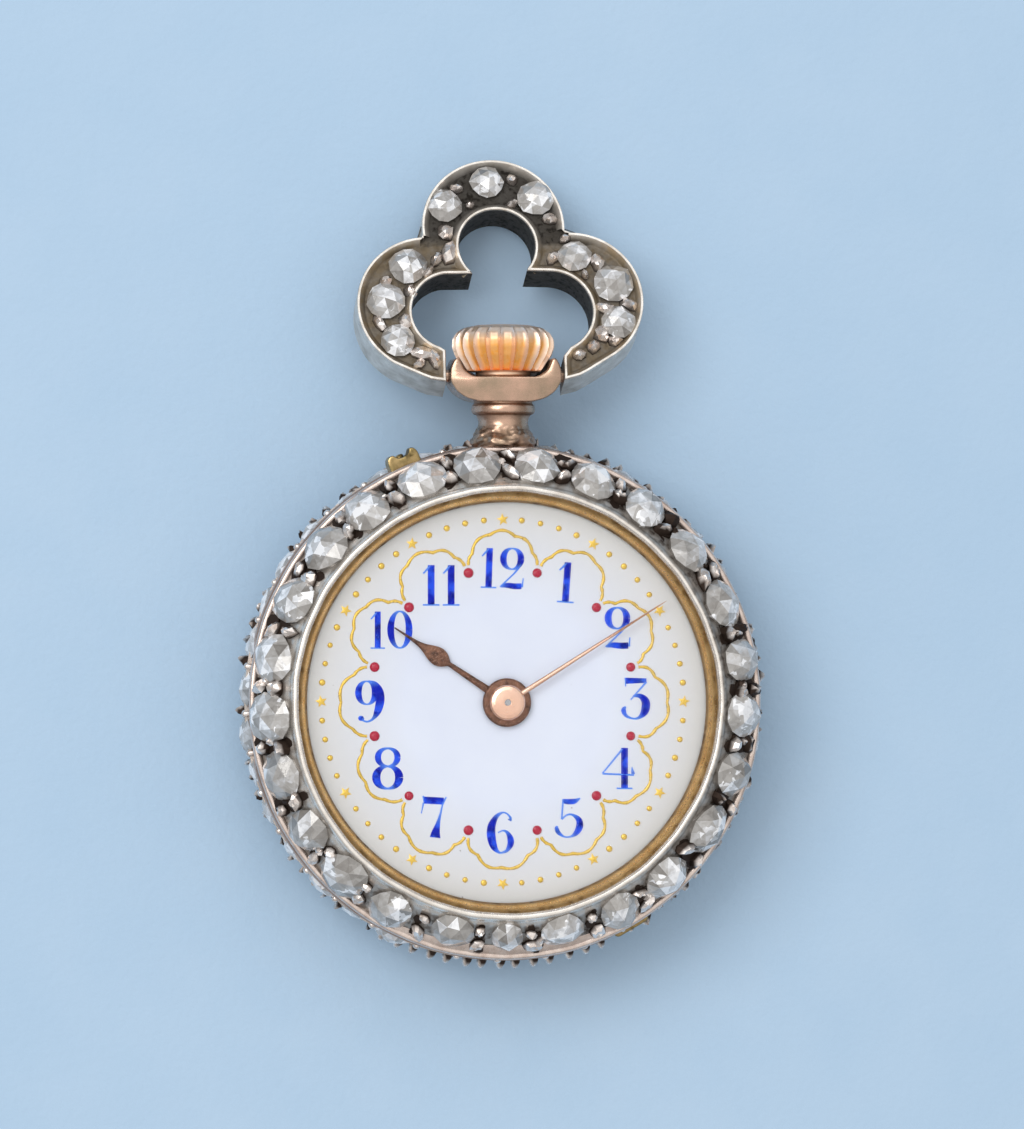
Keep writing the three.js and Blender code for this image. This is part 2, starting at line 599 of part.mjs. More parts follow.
// ---- plates and bridges ----
const pivotHoles = (radius, centres, z0, z1) => centres.map((at) => cylinder(radius, z0, z1, at, 10));
const TRAIN = [THIRD, FOURTH, ESCAPE];
const DIAL_FEET = [polar(CENTRE, 8.9, 20), polar(CENTRE, 8.9, 200)];

function mainPlate() {
  const { radius, flangeRadius, underside, step, face } = PLATE;
  const disc = turned([
    [0, underside], [radius, underside], [radius, step], [flangeRadius, step], [flangeRadius, face],
    [10.15, face], [10.15, 5.72], [9.6, 5.72], [9.6, face], [0, face],
  ]);
  const stemWay = [
    box(-0.4, 0.4, 6.2, 12, 3, 4.9),
    box(-1.22, 1.22, 7.5, 8.3, 3, 6),
    box(-0.85, 0.85, 6.7, 7.55, 3, 6),
  ];
  const pinWay = join(box(-0.27, 0.27, 8.7, 12, 3, 4.76), box(-0.24, 0.24, 8.9, 9.5, 3, 5));
  const posts = join(
    cylinder(0.2, face - 0.1, 5.65, MINUTE_WHEEL, 12),
    cylinder(0.2, face - 0.1, 5.4, SETTING_WHEEL, 12),
  );
  return cut(
    join(disc, posts),
    ...stemWay,
    aboutZ(pinWay, SETTING_ANGLE),
    cylinder(0.26, 3, 6),
    cylinder(0.36, 3, 6, BARREL),
    ...pivotHoles(0.08, [...TRAIN, PALLET, BALANCE], 3, 6),
    ...pivotHoles(0.27, DIAL_FEET, 3, 6),
    ...CASE_SCREWS.map((at) => cylinder(0.22, 3, 6, at, 10)),
  );
}
const caseScrew = (at) => join(cylinder(0.18, 3.9, 4.9, at, 10), cylinder(0.36, 4.88, 5.08, at, 12));

const BRIDGE_DISC = () => cylinder(BRIDGE.radius, BRIDGE.underside, BRIDGE.face, CENTRE, 48);
const pillar = (at) => cylinder(0.55, BRIDGE.face - 0.1, PLATE.underside - 0.02, at, 16);
const pillars = (places) => places.map(pillar);
const screwHoles = (places) => places.map((at) => cylinder(0.24, 1.7, 3.4, at, 10));
const BARREL_FEET = [[-7.85, -0.8], [3.6, 7.5]];
const TRAIN_FEET = [[6.0, -5.3]];
const COCK_FOOT = [-8.15, -2.75];
const BRIDGE_SCREWS = [BARREL_FEET[1], TRAIN_FEET[0], COCK_FOOT];
function barrelBridge() {
  const outline = [[-9.6, -1.6], [-2.7, -0.6], [0.9, 2.2], [9.6, 2.4], [9.6, 9.6], [-9.6, 9.6]];
  const slab = plate(outline, BRIDGE.underside, BRIDGE.face).intersect(BRIDGE_DISC());
  const crownStud = cylinder(0.48, BRIDGE.face - 0.1, 3.2, CROWN_WHEEL);
  return cut(
    join(slab, crownStud, ...pillars(BARREL_FEET)),
    cylinder(0.36, 1, 3, BARREL),
    ...screwHoles([BARREL_FEET[1]]),
  );
}
function trainBridge() {
  const outline = [
    [-2.5, -0.85], [1.05, 1.95], [9.6, 2.2], [9.6, -9.6], [1.2, -9.6], [-0.6, -6.2], [-2.0, -4.9],
  ];
  const slab = plate(outline, BRIDGE.underside, BRIDGE.face).intersect(BRIDGE_DISC());
  return cut(
    join(slab, ...pillars(TRAIN_FEET)),
    cylinder(0.12, 1, 3),
    ...pivotHoles(0.08, TRAIN, 1, 3),
    ...screwHoles(TRAIN_FEET),
  );
}
function balanceCock() {
  const outline = [
    [-8.75, -3.1], [-8.35, -2.0], [-7.3, -2.0], [-4.75, -3.8], [-4.6, -4.5], [-5.0, -5.05], [-5.6, -5.05],
  ];
  const slab = plate(outline, BRIDGE.underside, 2.4);
  const foot = cylinder(0.55, 2.3, PLATE.underside - 0.02, COCK_FOOT, 16);
  return cut(join(slab, foot), cylinder(0.07, 1, 3, BALANCE, 10), ...screwHoles([COCK_FOOT]));
}
function palletCock() {
  const slab = plate([[-3.25, -5.55], [-2.6, -5.45], [-1.9, -8.0], [-3.0, -8.3]], 2.62, 2.9);
  const foot = cylinder(0.4, 2.7, PLATE.underside - 0.02, [-2.5, -7.7], 14);
  return cut(join(slab, foot), cylinder(0.07, 2, 3, PALLET, 10));
}
const bridgeScrew = (at) =>
  join(cylinder(0.2, 1.76, 3.2, at, 10), cylinder(0.36, 1.76, BRIDGE.underside - 0.02, at, 12));

// ---- keyless and motion work ----
const clutchWheel = () => cut(
  onStem(toothed(14, 0.56, 0.74), 6.85, 7.5),
  radialHole(STEM_RADIUS + 0.02, 6, 9),
);
function yoke() {
  const arm = plate(
    [
      [-4.1, 8.1], [-3.6, 8.6], [-1.45, 8.5], [-1.45, 7.15],
      [-0.95, 7.15], [-0.95, 6.85], [-1.9, 6.85], [-1.9, 7.95],
    ],
    PLATE.face + PLAY,
    PLATE.face + 0.2,
  );
  const tail = aboutZ(box(-0.2, 0.2, 8.95, 9.45, 4.3, PLATE.face + 0.2), SETTING_ANGLE);
  return join(arm, tail);
}
const settingWheel = () => {
  const phase = gapAt(SETTING_WHEEL, MINUTE_WHEEL, 18);
  return gear(18, MODULE.motion, 4.95, 5.15, SETTING_WHEEL, { hole: 0.22, phase });
};
function minuteWheel() {
  const phase = toothAt(MINUTE_WHEEL, SETTING_WHEEL);
  const disc = gear(30, MODULE.motion, 5.0, 5.15, MINUTE_WHEEL, { phase });
  const inGap = gapAt(MINUTE_WHEEL, CENTRE, 8);
  const leaves = gear(8, MODULE.motion, 5.1, 5.55, MINUTE_WHEEL, { share: 0.5, phase: inGap });
  return cut(join(disc, leaves), cylinder(0.22, 4, 6, MINUTE_WHEEL, 12));
}
function cannonPinion() {
  const onTooth = toothAt(CENTRE, MINUTE_WHEEL);
  const leaves = gear(10, MODULE.motion, 4.93, 5.28, CENTRE, { share: 0.5, phase: onTooth });
  return cut(join(leaves, cylinder(0.42, 5.1, 6.98)), cylinder(0.24, 4, 8));
}
function hourWheel() {
  const disc = gear(32, MODULE.motion, 5.34, 5.48, CENTRE, { phase: toothAt(CENTRE, MINUTE_WHEEL) });
  return cut(join(disc, cylinder(0.66, 5.4, 6.66)), cylinder(0.45, 4, 8));
}

// ---- dial and hands ----
const dial = () =>
  join(
    cut(cylinder(DIAL.radius, DIAL.underside, DIAL.face, CENTRE, 48), cylinder(DIAL.hole, 5, 7)),
    ...DIAL_FEET.map((at) => cylinder(0.24, 4.4, DIAL.underside + 0.05, at, 12)),
  );
// A hand as a symmetrical outline of [half width, distance from the centre], with a round boss.
function hand(halves, z, thickness, boss, bore, bossTop) {
  const outline = [...halves, ...halves.map(([x, y]) => [-x, y]).reverse()];
  const body = join(plate(outline, z, z + thickness), cylinder(boss, z, bossTop, CENTRE, 32));
  return cut(body, cylinder(bore, 5, 8, CENTRE, 24));
}
const HOUR_BLADE = [
  [0.2, 0.9], [0.13, 3.3], [0.14, 3.45], [0.3, 3.62], [0.42, 3.85], [0.45, 4.08], [0.4, 4.35],
  [0.28, 4.68], [0.15, 4.98], [0.09, 5.25], [0.03, 6.68],
];
const MINUTE_BLADE = [[0.13, 0.7], [0.11, 3.0], [0.035, 9.2], [0.015, 9.34]];
const hourHand = () => aboutZ(hand(HOUR_BLADE, 6.42, 0.12, 1.2, 0.68, 6.66), -HANDS.hour);
const minuteHand = () => aboutZ(hand(MINUTE_BLADE, 6.76, 0.1, 0.875, 0.44, 7.0), -HANDS.minute);

// ---- bow stones ----
// Each stone is [across, up] in the bow's plane, with the bow upright, and its radius.
const BOW_STONES = [
  [-2.23, 8.75, 0.9], [-0.03, 9.9, 0.86], [2.34, 8.92, 0.95],
  [-4.31, 5.67, 0.98], [-5.58, 3.93, 0.98], [-5.16, 1.82, 0.88],
  [4.0, 5.73, 0.92], [5.83, 4.26, 1.02], [5.85, 2.15, 0.86],
];
function bowStone([x, y, radius]) {
  return roseCut(radius, 0.5)
    .translate([x, y, BOW.depth / 2 + 0.01])
    .rotate([0, 0, BOW.lean])
    .rotate([-BOW.tilt, 0, 0])
    .translate([0, BOW.y, STEM_Z]);
}

// ---- assembly ----
add("case_middle", caseMiddle(), ROSE_GOLD);
add("setting_guard", settingGuard(), YELLOW_GOLD);
add("back_cover", backCover(), YELLOW_GOLD);
add("back_stones", backStones(), DIAMOND);
add("back_hinge_pin", hingePin(CASE.backSeam), STEEL);
add("dust_cap", dustCap(), GILT);
add("bezel", bezel(), SILVER);
add("bezel_stones", bezelStones(), DIAMOND);
add("bezel_hinge_pin", hingePin(CASE.frontSeam), STEEL);
add("bezel_ring", bezelRing(), YELLOW_GOLD);
add("crystal", crystal(), GLASS);

add("pendant", pendant(), ROSE_GOLD);
add("crown", crown(), ROSE_GOLD);
add("winding_stem", windingStem(), STEEL);
add("clutch_wheel", clutchWheel(), STEEL);
add("setting_pin", settingPin(), YELLOW_GOLD);
add("yoke", yoke(), STEEL);
add("bow", bow(), SILVER);
add("bow_pin_right", bowPin(1), ROSE_GOLD);
add("bow_pin_left", bowPin(-1), ROSE_GOLD);
BOW_STONES.forEach((stone, i) => add(`bow_stone_${i + 1}`, bowStone(stone), DIAMOND));

add("dial", dial(), ENAMEL);
add("hour_hand", hourHand(), OXIDISED_GOLD);
add("minute_hand", minuteHand(), ROSE_GOLD);
add("cannon_pinion", cannonPinion(), STEEL);
add("hour_wheel", hourWheel(), BRASS);
add("minute_wheel", minuteWheel(), BRASS);
add("setting_wheel", settingWheel(), STEEL);

add("main_plate", mainPlate(), GILT);
CASE_SCREWS.forEach((at, i) => add(`case_screw_${i + 1}`, caseScrew(at), BLUED));
add("barrel_bridge", barrelBridge(), GILT);
add("train_bridge", trainBridge(), GILT);
add("balance_cock", balanceCock(), GILT);
add("pallet_cock", palletCock(), GILT);
BRIDGE_SCREWS.forEach((at, i) => add(`bridge_screw_${i + 1}`, bridgeScrew(at), BLUED));

add("barrel", barrelDrum(), BRASS);
add("barrel_lid", washer(0.64, 3.26, 2.95, 3.03, BARREL, 32), BRASS);
add("mainspring", coil(0.75, 3.15, 5, 0.12, 3.07, 3.46, BARREL), BLUED);
add("barrel_arbor", barrelArbor(), STEEL);
add("ratchet_wheel", ratchetWheel(), STEEL);
add("crown_wheel", crownWheel(), STEEL);
add("click", click(), STEEL);
add("centre_wheel", centreWheel(), BRASS);
add("third_wheel", thirdWheel(), BRASS);
add("fourth_wheel", fourthWheel(), BRASS);
add("escape_wheel", escapeWheel(), STEEL);
add("lever", lever(), STEEL);
add("balance_wheel", balance(), BRASS);
add("hairspring", hairspring(), BLUED);

export default group;
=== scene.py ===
# Fob watch: the finished look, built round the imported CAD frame. Sizes are in mm and become metres in
# piece(). Angles round the dial are in degrees, clockwise from 12 o'clock.
import random
from math import atan2, copysign, cos, hypot, radians, sin, sqrt
from math import pi as PI

import bmesh
import bpy
from mathutils import Matrix, Vector
from mathutils.geometry import tessellate_polygon
from mathutils.noise import noise as grain


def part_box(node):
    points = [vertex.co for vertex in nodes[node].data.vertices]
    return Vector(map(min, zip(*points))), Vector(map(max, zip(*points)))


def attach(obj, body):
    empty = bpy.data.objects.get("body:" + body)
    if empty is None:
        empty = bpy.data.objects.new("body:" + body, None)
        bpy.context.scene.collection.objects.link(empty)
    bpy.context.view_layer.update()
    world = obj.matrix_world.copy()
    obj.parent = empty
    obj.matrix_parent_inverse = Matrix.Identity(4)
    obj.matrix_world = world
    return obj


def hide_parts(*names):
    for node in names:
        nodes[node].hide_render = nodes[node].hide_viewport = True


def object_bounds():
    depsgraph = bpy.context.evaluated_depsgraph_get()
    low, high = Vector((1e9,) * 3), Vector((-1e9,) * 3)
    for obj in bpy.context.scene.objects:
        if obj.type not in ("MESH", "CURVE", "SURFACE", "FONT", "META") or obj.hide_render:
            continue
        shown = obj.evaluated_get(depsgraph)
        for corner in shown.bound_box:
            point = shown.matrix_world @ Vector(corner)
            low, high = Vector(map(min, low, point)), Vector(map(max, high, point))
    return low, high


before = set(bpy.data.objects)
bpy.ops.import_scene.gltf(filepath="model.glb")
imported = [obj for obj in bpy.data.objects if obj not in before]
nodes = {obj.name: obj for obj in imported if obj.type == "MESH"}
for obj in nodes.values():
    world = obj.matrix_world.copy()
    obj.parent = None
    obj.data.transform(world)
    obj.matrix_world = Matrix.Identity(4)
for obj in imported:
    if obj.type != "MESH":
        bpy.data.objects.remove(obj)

START_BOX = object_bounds()
MM = 0.001
scene = bpy.context.scene


def reach(node):
    """Lowest and highest corner of a CAD node, in mm."""
    low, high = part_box(node)
    return [c / MM for c in low], [c / MM for c in high]


def middle(node, axis):
    """The middle of a CAD node's box along one axis, in mm."""
    low, high = reach(node)
    return (low[axis] + high[axis]) / 2


# ---- sizes taken from the frame ----
DIAL_FACE = reach("dial")[1][2]
CASE_RADIUS = reach("case_middle")[1][0]
BACK_SEAM = middle("back_hinge_pin", 2)
FRONT_SEAM = middle("bezel_hinge_pin", 2)
BEZEL_TOP = reach("bezel")[1][2]
STEM_Z = middle("winding_stem", 2)
PIVOT_Y = middle("bow_pin_right", 1)
HINGE_X = middle("bezel_hinge_pin", 0)
HINGE_FLAT = 3.6  # half the length of the flat that the band is cut to behind the hinges
BOW_TILT = radians(18)
BOW_LEAN = radians(3.5)
MINUTE_ANGLE = 57.5
HOUR_ANGLE = 303.6
SETTING_ANGLE = 23  # towards 11 o'clock
LIP_ANGLE = 149.6
STONE_COUNT = 25
STONE_PHASE = 7.3


# ---- materials ----
def tree_of(name):
    """A new material, its node tree and its shader."""
    made = bpy.data.materials.new(name)
    made.use_nodes = True
    return made, made.node_tree, made.node_tree.nodes["Principled BSDF"]


def settle(tree, made, values):
    """Sets sockets of a node, each to a constant or to what another node gives."""
    for key, value in values.items():
        socket = made.inputs[key]
        if isinstance(value, bpy.types.NodeSocket):
            tree.links.new(value, socket)
        else:
            socket.default_value = (*value, 1) if socket.type == "RGBA" else value


def node(tree, kind, inputs=None, **settings):
    made = tree.nodes.new(kind)
    for key, value in settings.items():
        setattr(made, key, value)
    settle(tree, made, inputs or {})
    return made


def in_mm(tree, stretch=(1, 1, 1)):
    """The surface point in mm, in the watch's own frame."""
    coord = node(tree, "ShaderNodeTexCoord").outputs["Object"]
    scale = tuple(1000 * s for s in stretch)
    return node(tree, "ShaderNodeMapping", {"Vector": coord, "Scale": scale}).outputs[0]


def noise(tree, point, scale, detail=3, roughness=0.55):
    values = {"Vector": point, "Scale": scale, "Detail": detail, "Roughness": roughness}
    return node(tree, "ShaderNodeTexNoise", values).outputs["Fac"]


def remap(tree, value, low, high, to_low=0, to_high=1):
    values = {"Value": value, "From Min": low, "From Max": high, "To Min": to_low, "To Max": to_high}
    return node(tree, "ShaderNodeMapRange", values).outputs["Result"]


def mixed(tree, factor, a, b):
    return node(tree, "ShaderNodeMix", {"Factor": factor, 6: a, 7: b}, data_type="RGBA").outputs[2]


def maths(tree, operation, a, b=0, clamp=False):
    return node(tree, "ShaderNodeMath", {0: a, 1: b}, operation=operation, use_clamp=clamp).outputs[0]


def attribute(tree, name):
    return node(tree, "ShaderNodeAttribute", attribute_name=name).outputs["Fac"]


def bump(tree, shader, height, strength, distance=0.02):
    values = {"Height": height, "Strength": strength, "Distance": distance * MM}
    settle(tree, shader, {"Normal": node(tree, "ShaderNodeBump", values).outputs["Normal"]})


def graded(tree, value, stops):
    """A ramp of colours through (place, colour) stops."""
    made = node(tree, "ShaderNodeValToRGB", {"Fac": value})
    elements = made.color_ramp.elements
    for element, (place, colour) in zip(elements, (stops[0], stops[-1])):
        element.position, element.color = place, (*colour, 1)
    for place, colour in stops[1:-1]:
        elements.new(place).color = (*colour, 1)
    return made.outputs["Color"]


def round_axis(tree, point):
    """The point flattened on to the dial, and its distance from the dial's centre."""
    flat = node(tree, "ShaderNodeVectorMath", {0: point, 1: (1, 1, 0)}, operation="MULTIPLY").outputs[0]
    return flat, node(tree, "ShaderNodeVectorMath", {0: flat}, operation="LENGTH").outputs["Value"]


def metal(
    name, light, dark, rough=(0.18, 0.34), grime_and_shade=None, scratch=0.25, cloud=0.7, worn=None, metallic=1,
    spare=0.8, patch=1.6, tan=None,
):
    """Metal with clouded colour, fine scratches, and grime and painted shade where the mesh's attribute for
    them says.

    Both thin out to the spare share between their patches. Tan is a stain, by the tan attribute.
    """
    made, tree, shader = tree_of(name)
    point = in_mm(tree)
    clouds = noise(tree, point, cloud, 4)
    fine = noise(tree, point, 9, 4)
    colour = mixed(tree, remap(tree, clouds, 0.35, 0.68), light, dark)
    if worn:
        colour = mixed(tree, remap(tree, fine, 0.55, 0.75), colour, worn)
    if tan:
        stained = remap(tree, noise(tree, point, 1.8, 4, 0.6), 0.42, 0.6, 0.45, 1)
        colour = mixed(tree, maths(tree, "MULTIPLY", attribute(tree, "tan"), stained), colour, tan)
    roughness = remap(tree, fine, 0.35, 0.7, *rough)
    if grime_and_shade:
        patches = remap(tree, noise(tree, point, patch, 4, 0.6), 0.5, 0.62, spare, 1)
        patchy = maths(tree, "MULTIPLY", attribute(tree, "grime_and_shade"), patches)
        colour = mixed(tree, patchy, colour, grime_and_shade)
        roughness = maths(tree, "ADD", roughness, maths(tree, "MULTIPLY", patchy, 0.35))
    settle(tree, shader, {"Base Color": colour, "Roughness": roughness, "Metallic": metallic})
    lines = noise(tree, in_mm(tree, (1, 14, 5)), 2.4, 4)
    cross = noise(tree, in_mm(tree, (13, 1.2, 5)), 1.9, 4)
    bump(tree, shader, maths(tree, "ADD", maths(tree, "ADD", lines, cross), fine), scratch, 0.012)
    return made


def enamel():
    """White enamel, a little blue in the middle and cream at the edge, with a few tiny specks."""
    made, tree, shader = tree_of("white_enamel")
    point = in_mm(tree)
    flat, radius = round_axis(tree, point)
    soft = noise(tree, point, 0.35, 3)
    white = mixed(tree, remap(tree, soft, 0.35, 0.65), (0.72, 0.775, 0.92), (0.745, 0.8, 0.935))
    colour = mixed(tree, remap(tree, radius, 5, 8.8), white, (0.685, 0.695, 0.72))
    colour = mixed(tree, remap(tree, radius, 8.8, 9.8), colour, (0.635, 0.635, 0.625))
    cells = node(tree, "ShaderNodeTexVoronoi", {"Vector": flat, "Scale": 0.9}, feature="F1")
    near = remap(tree, cells.outputs["Distance"], 0.05, 0.02)
    speck = maths(tree, "MULTIPLY", near, remap(tree, noise(tree, flat, 1.7, 2), 0.56, 0.62))
    settle(tree, shader, {
        "Base Color": mixed(tree, speck, colour, (0.16, 0.14, 0.12)),
        "Roughness": remap(tree, soft, 0.3, 0.7, 0.16, 0.26),
        "Coat Weight": 0.35,
    })
    bump(tree, shader, noise(tree, point, 1.1, 2), 0.12, 0.02)
    return made


def painted(name, thick, thin, metallic=0, rough=0.3, coat=0.3, mottle=0.5, gleam=0.5, lit=None):
    """Fired paint: thin strokes show paler than thick ones, and a pool of paint dries darker."""
    made, tree, shader = tree_of(name)
    point = in_mm(tree)
    pooled = remap(tree, noise(tree, point, 2.2, 3), 0.48, 0.66, 0, mottle)
    colour = mixed(tree, pooled, thick, tuple(c * 0.3 for c in thick))
    if lit:
        colour = mixed(tree, remap(tree, noise(tree, point, 1.3, 3), 0.47, 0.6), colour, lit)
    settle(tree, shader, {
        "Base Color": mixed(tree, attribute(tree, "ink"), thin, colour),
        "Roughness": remap(tree, noise(tree, point, 7, 3), 0.3, 0.7, rough * 0.8, rough * 1.25),
        "Metallic": metallic,
        "Specular IOR Level": gleam,
        "Coat Weight": coat,
    })
    bump(tree, shader, noise(tree, point, 5, 3), 0.3, 0.015)
    return made


def diamond():
    """Foil-backed rose-cut diamond: painted facet light, crossed by painted reflections inside the stone."""
    made, tree, shader = tree_of("rose_cut_diamond")
    point = in_mm(tree)
    cloud = noise(tree, point, 1.9, 4, 0.6)
    swirl = node(tree, "ShaderNodeTexNoise", {"Vector": point, "Scale": 1.1, "Detail": 2})
    warped = node(tree, "ShaderNodeVectorMath", {0: point, 1: swirl.outputs["Color"]}, operation="ADD")

    def reflections(scale, channel):
        cells = {"Vector": warped.outputs[0], "Scale": scale, "Randomness": 1}
        colour = node(tree, "ShaderNodeTexVoronoi", cells, feature="F1").outputs["Color"]
        return node(tree, "ShaderNodeSeparateColor", {0: colour}).outputs[channel]

    broad, fine = reflections(1.5, 0), reflections(3.4, 1)
    tone = attribute(tree, "tone")
    tone = maths(tree, "MULTIPLY", tone, remap(tree, cloud, 0.3, 0.7, 0.86, 1.14))
    tone = maths(tree, "MULTIPLY", tone, remap(tree, broad, 0, 1, 0.84, 1.16))
    tone = maths(tree, "MULTIPLY", tone, remap(tree, fine, 0, 1, 0.88, 1.1))
    # Where both reflections peak, the stone gets a painted glint.
    painted_glint = remap(tree, maths(tree, "ADD", broad, fine), 1.55, 1.75, 0, 0.4)
    settle(tree, shader, {
        "Base Color": graded(tree, maths(tree, "ADD", tone, painted_glint, clamp=True), [
            (0, (0.045, 0.04, 0.036)), (0.3, (0.19, 0.175, 0.16)), (0.6, (0.43, 0.415, 0.4)),
            (0.85, (0.7, 0.71, 0.74)), (1, (0.96, 0.97, 1)),
        ]),
        "Roughness": remap(tree, cloud, 0.3, 0.7, 0.05, 0.16),
        "Metallic": 0.08, "IOR": 1.9, "Coat Weight": 0.3, "Coat Roughness": 0.04,
    })
    bump(tree, shader, cloud, 0.35, 0.06)
    return made


def glass():
    """Thin clear glass."""
    made, tree, shader = tree_of("watch_glass")
    point = in_mm(tree)
    settle(tree, shader, {
        "Base Color": mixed(tree, noise(tree, point, 0.4, 2), (0.93, 0.95, 0.96), (0.97, 0.98, 1)),
        "Roughness": remap(tree, noise(tree, point, 3, 3), 0.3, 0.7, 0.02, 0.05),
        "Transmission Weight": 1,
        "Alpha": 0.06,
    })
    return made


def paper():
    """Pale blue paper with a faint tooth and slow changes of shade."""
    made, tree, shader = tree_of("blue_paper")
    point = in_mm(tree)
    slow = remap(tree, noise(tree, point, 0.02, 2), 0.3, 0.7)
    cloud = remap(tree, noise(tree, point, 0.22, 4), 0.35, 0.7, 0, 0.4)
    blue = mixed(tree, slow, (0.43, 0.59, 0.77), (0.46, 0.615, 0.79))
    colour = mixed(tree, cloud, blue, (0.405, 0.57, 0.755))
    settle(tree, shader, {"Base Color": colour, "Roughness": 0.9, "Specular IOR Level": 0.2})
    bump(tree, shader, noise(tree, point, 2.2, 5), 0.35, 0.12)
    return made


# The fifth colour of a metal is its grime colour, which also paints shade where the mesh asks for it.
SILVER = metal(
    "silver", (0.9, 0.86, 0.81), (0.7, 0.64, 0.58), (0.2, 0.36), (0.06, 0.042, 0.032), 0.05, 1.3,
    spare=0.64, metallic=0.8, patch=2.6,
)
BOW_SILVER = metal(
    "bow_silver", (0.82, 0.78, 0.73), (0.54, 0.49, 0.43), (0.25, 0.42), (0.014, 0.011, 0.008), cloud=1.3,
    spare=0.93, patch=3.4, metallic=0.7, tan=(0.6, 0.47, 0.31),
)
RIM_GOLD = metal(
    "rim_gold", (0.79, 0.68, 0.62), (0.58, 0.46, 0.4), (0.22, 0.4), (0.07, 0.045, 0.035), cloud=1.6,
    spare=0.6, metallic=0.8,
)
BEAD_SILVER = metal(
    "bead_silver", (0.94, 0.89, 0.86), (0.62, 0.53, 0.48), (0.18, 0.32), (0.048, 0.032, 0.025), cloud=2.6,
    spare=1, metallic=0.85,
)
ROSE_GOLD = metal(
    "rose_gold", (0.6, 0.39, 0.29), (0.38, 0.28, 0.2), (0.2, 0.36), (0.1, 0.055, 0.03), 0.12, 0.8,
    spare=0.7, patch=2.4,
)
# Its grime colour, a deep orange, is the painted shade in the crown's flutes.
CROWN_GOLD = metal(
    "crown_gold", (1, 0.82, 0.71), (0.97, 0.72, 0.56), (0.24, 0.4), (0.92, 0.47, 0.1), 0.1,
    spare=0.85, patch=3, metallic=0.85,
)
CASE_GOLD = metal("case_gold", (0.66, 0.42, 0.31), (0.52, 0.33, 0.24), (0.25, 0.42), (0.16, 0.09, 0.06))
GUARD_GOLD = metal(
    "guard_gold", (0.5, 0.36, 0.17), (0.24, 0.18, 0.075), (0.25, 0.4), (0.1, 0.07, 0.03), cloud=2.5
)
RING_GILT = metal(
    "ring_gilt", (1, 0.69, 0.32), (0.74, 0.46, 0.18), (0.2, 0.36), (0.13, 0.065, 0.02), 0.06, 1.2,
    spare=0.75,
)
HOUR_BROWN = metal(
    "oxidised_gold", (0.26, 0.13, 0.085), (0.085, 0.045, 0.034), (0.35, 0.55), cloud=3.2,
    worn=(0.42, 0.24, 0.17), metallic=0.75,
)
HAND_GOLD = metal("hand_gold", (0.92, 0.62, 0.48), (0.82, 0.5, 0.37), (0.16, 0.28))
STEEL = metal("steel", (0.62, 0.63, 0.64), (0.46, 0.47, 0.49), (0.16, 0.3))
BLUED = metal("blued_steel", (0.05, 0.09, 0.32), (0.02, 0.04, 0.16), (0.16, 0.3))
BRASS, BRASS_ON_STEEL = (
    metal(name, (0.75, 0.56, 0.24), (0.6, 0.42, 0.16), (0.22, 0.36)) for name in ("brass", "brass_on_steel")
)
MOVEMENT_GILT = metal("movement_gilt", (0.8, 0.6, 0.28), (0.68, 0.48, 0.2), (0.34, 0.5), scratch=0.4)
CAP_GOLD = metal("cap_gold", (0.8, 0.58, 0.28), (0.66, 0.45, 0.2), (0.14, 0.28))
ENAMEL = enamel()
BLUE_PAINT = painted(
    "blue_paint", (0.003, 0.014, 0.46), (0.1, 0.27, 0.88), rough=0.5, coat=0, mottle=0.9, gleam=0.12,
    lit=(0.02, 0.085, 0.8),
)
GOLD_PAINT = painted("gold_paint", (0.8, 0.54, 0.1), (0.8, 0.54, 0.1), metallic=0.55, coat=0)
RED_PAINT = painted("red_enamel", (0.46, 0.016, 0.05), (0.46, 0.016, 0.05), rough=0.22, coat=0.12, gleam=0.4)
DIAMOND = diamond()
GLASS = glass()


def steel_arbor(material):
    """Makes the middle of a wheel that turns about the dial's axis steel, for its arbor."""
    tree = material.node_tree
    colour = tree.nodes["Principled BSDF"].inputs["Base Color"]
    _, radius = round_axis(tree, in_mm(tree))
    brass = colour.links[0].from_socket
    tree.links.new(mixed(tree, remap(tree, radius, 0.4, 0.41), (0.42, 0.43, 0.45), brass), colour)


steel_arbor(BRASS_ON_STEEL)


# ---- mesh helpers ----
def piece(name, made, body, material, stands_for=(), sharp=30, flat=False, weights=None, tones=None):
    """Makes one finished piece from (points in mm, faces[, grime and shade]), in place, riding on a CAD body.
    """
    points, faces = made[:2]
    if len(made) > 2 and weights is None:
        weights = {"grime_and_shade": made[2]}
    mesh = bpy.data.meshes.new(name)
    mesh.from_pydata([(x * MM, y * MM, z * MM) for x, y, z in points], [], faces)
    for key, values in (weights or {}).items():
        mesh.attributes.new(key, "FLOAT", "POINT").data.foreach_set("value", values)
    if tones is not None:
        mesh.attributes.new("tone", "FLOAT", "FACE").data.foreach_set("value", tones)
    work = bmesh.new()
    work.from_mesh(mesh)
    bmesh.ops.recalc_face_normals(work, faces=work.faces)
    work.to_mesh(mesh)
    work.free()
    mesh.polygons.foreach_set("use_smooth", [not flat] * len(mesh.polygons))
    if not flat:
        mesh.set_sharp_from_angle(angle=radians(sharp))
    mesh.materials.append(material)
    made_object = bpy.data.objects.new(name, mesh)
    scene.collection.objects.link(made_object)
    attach(made_object, body)
    if stands_for:
        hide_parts(*stands_for)


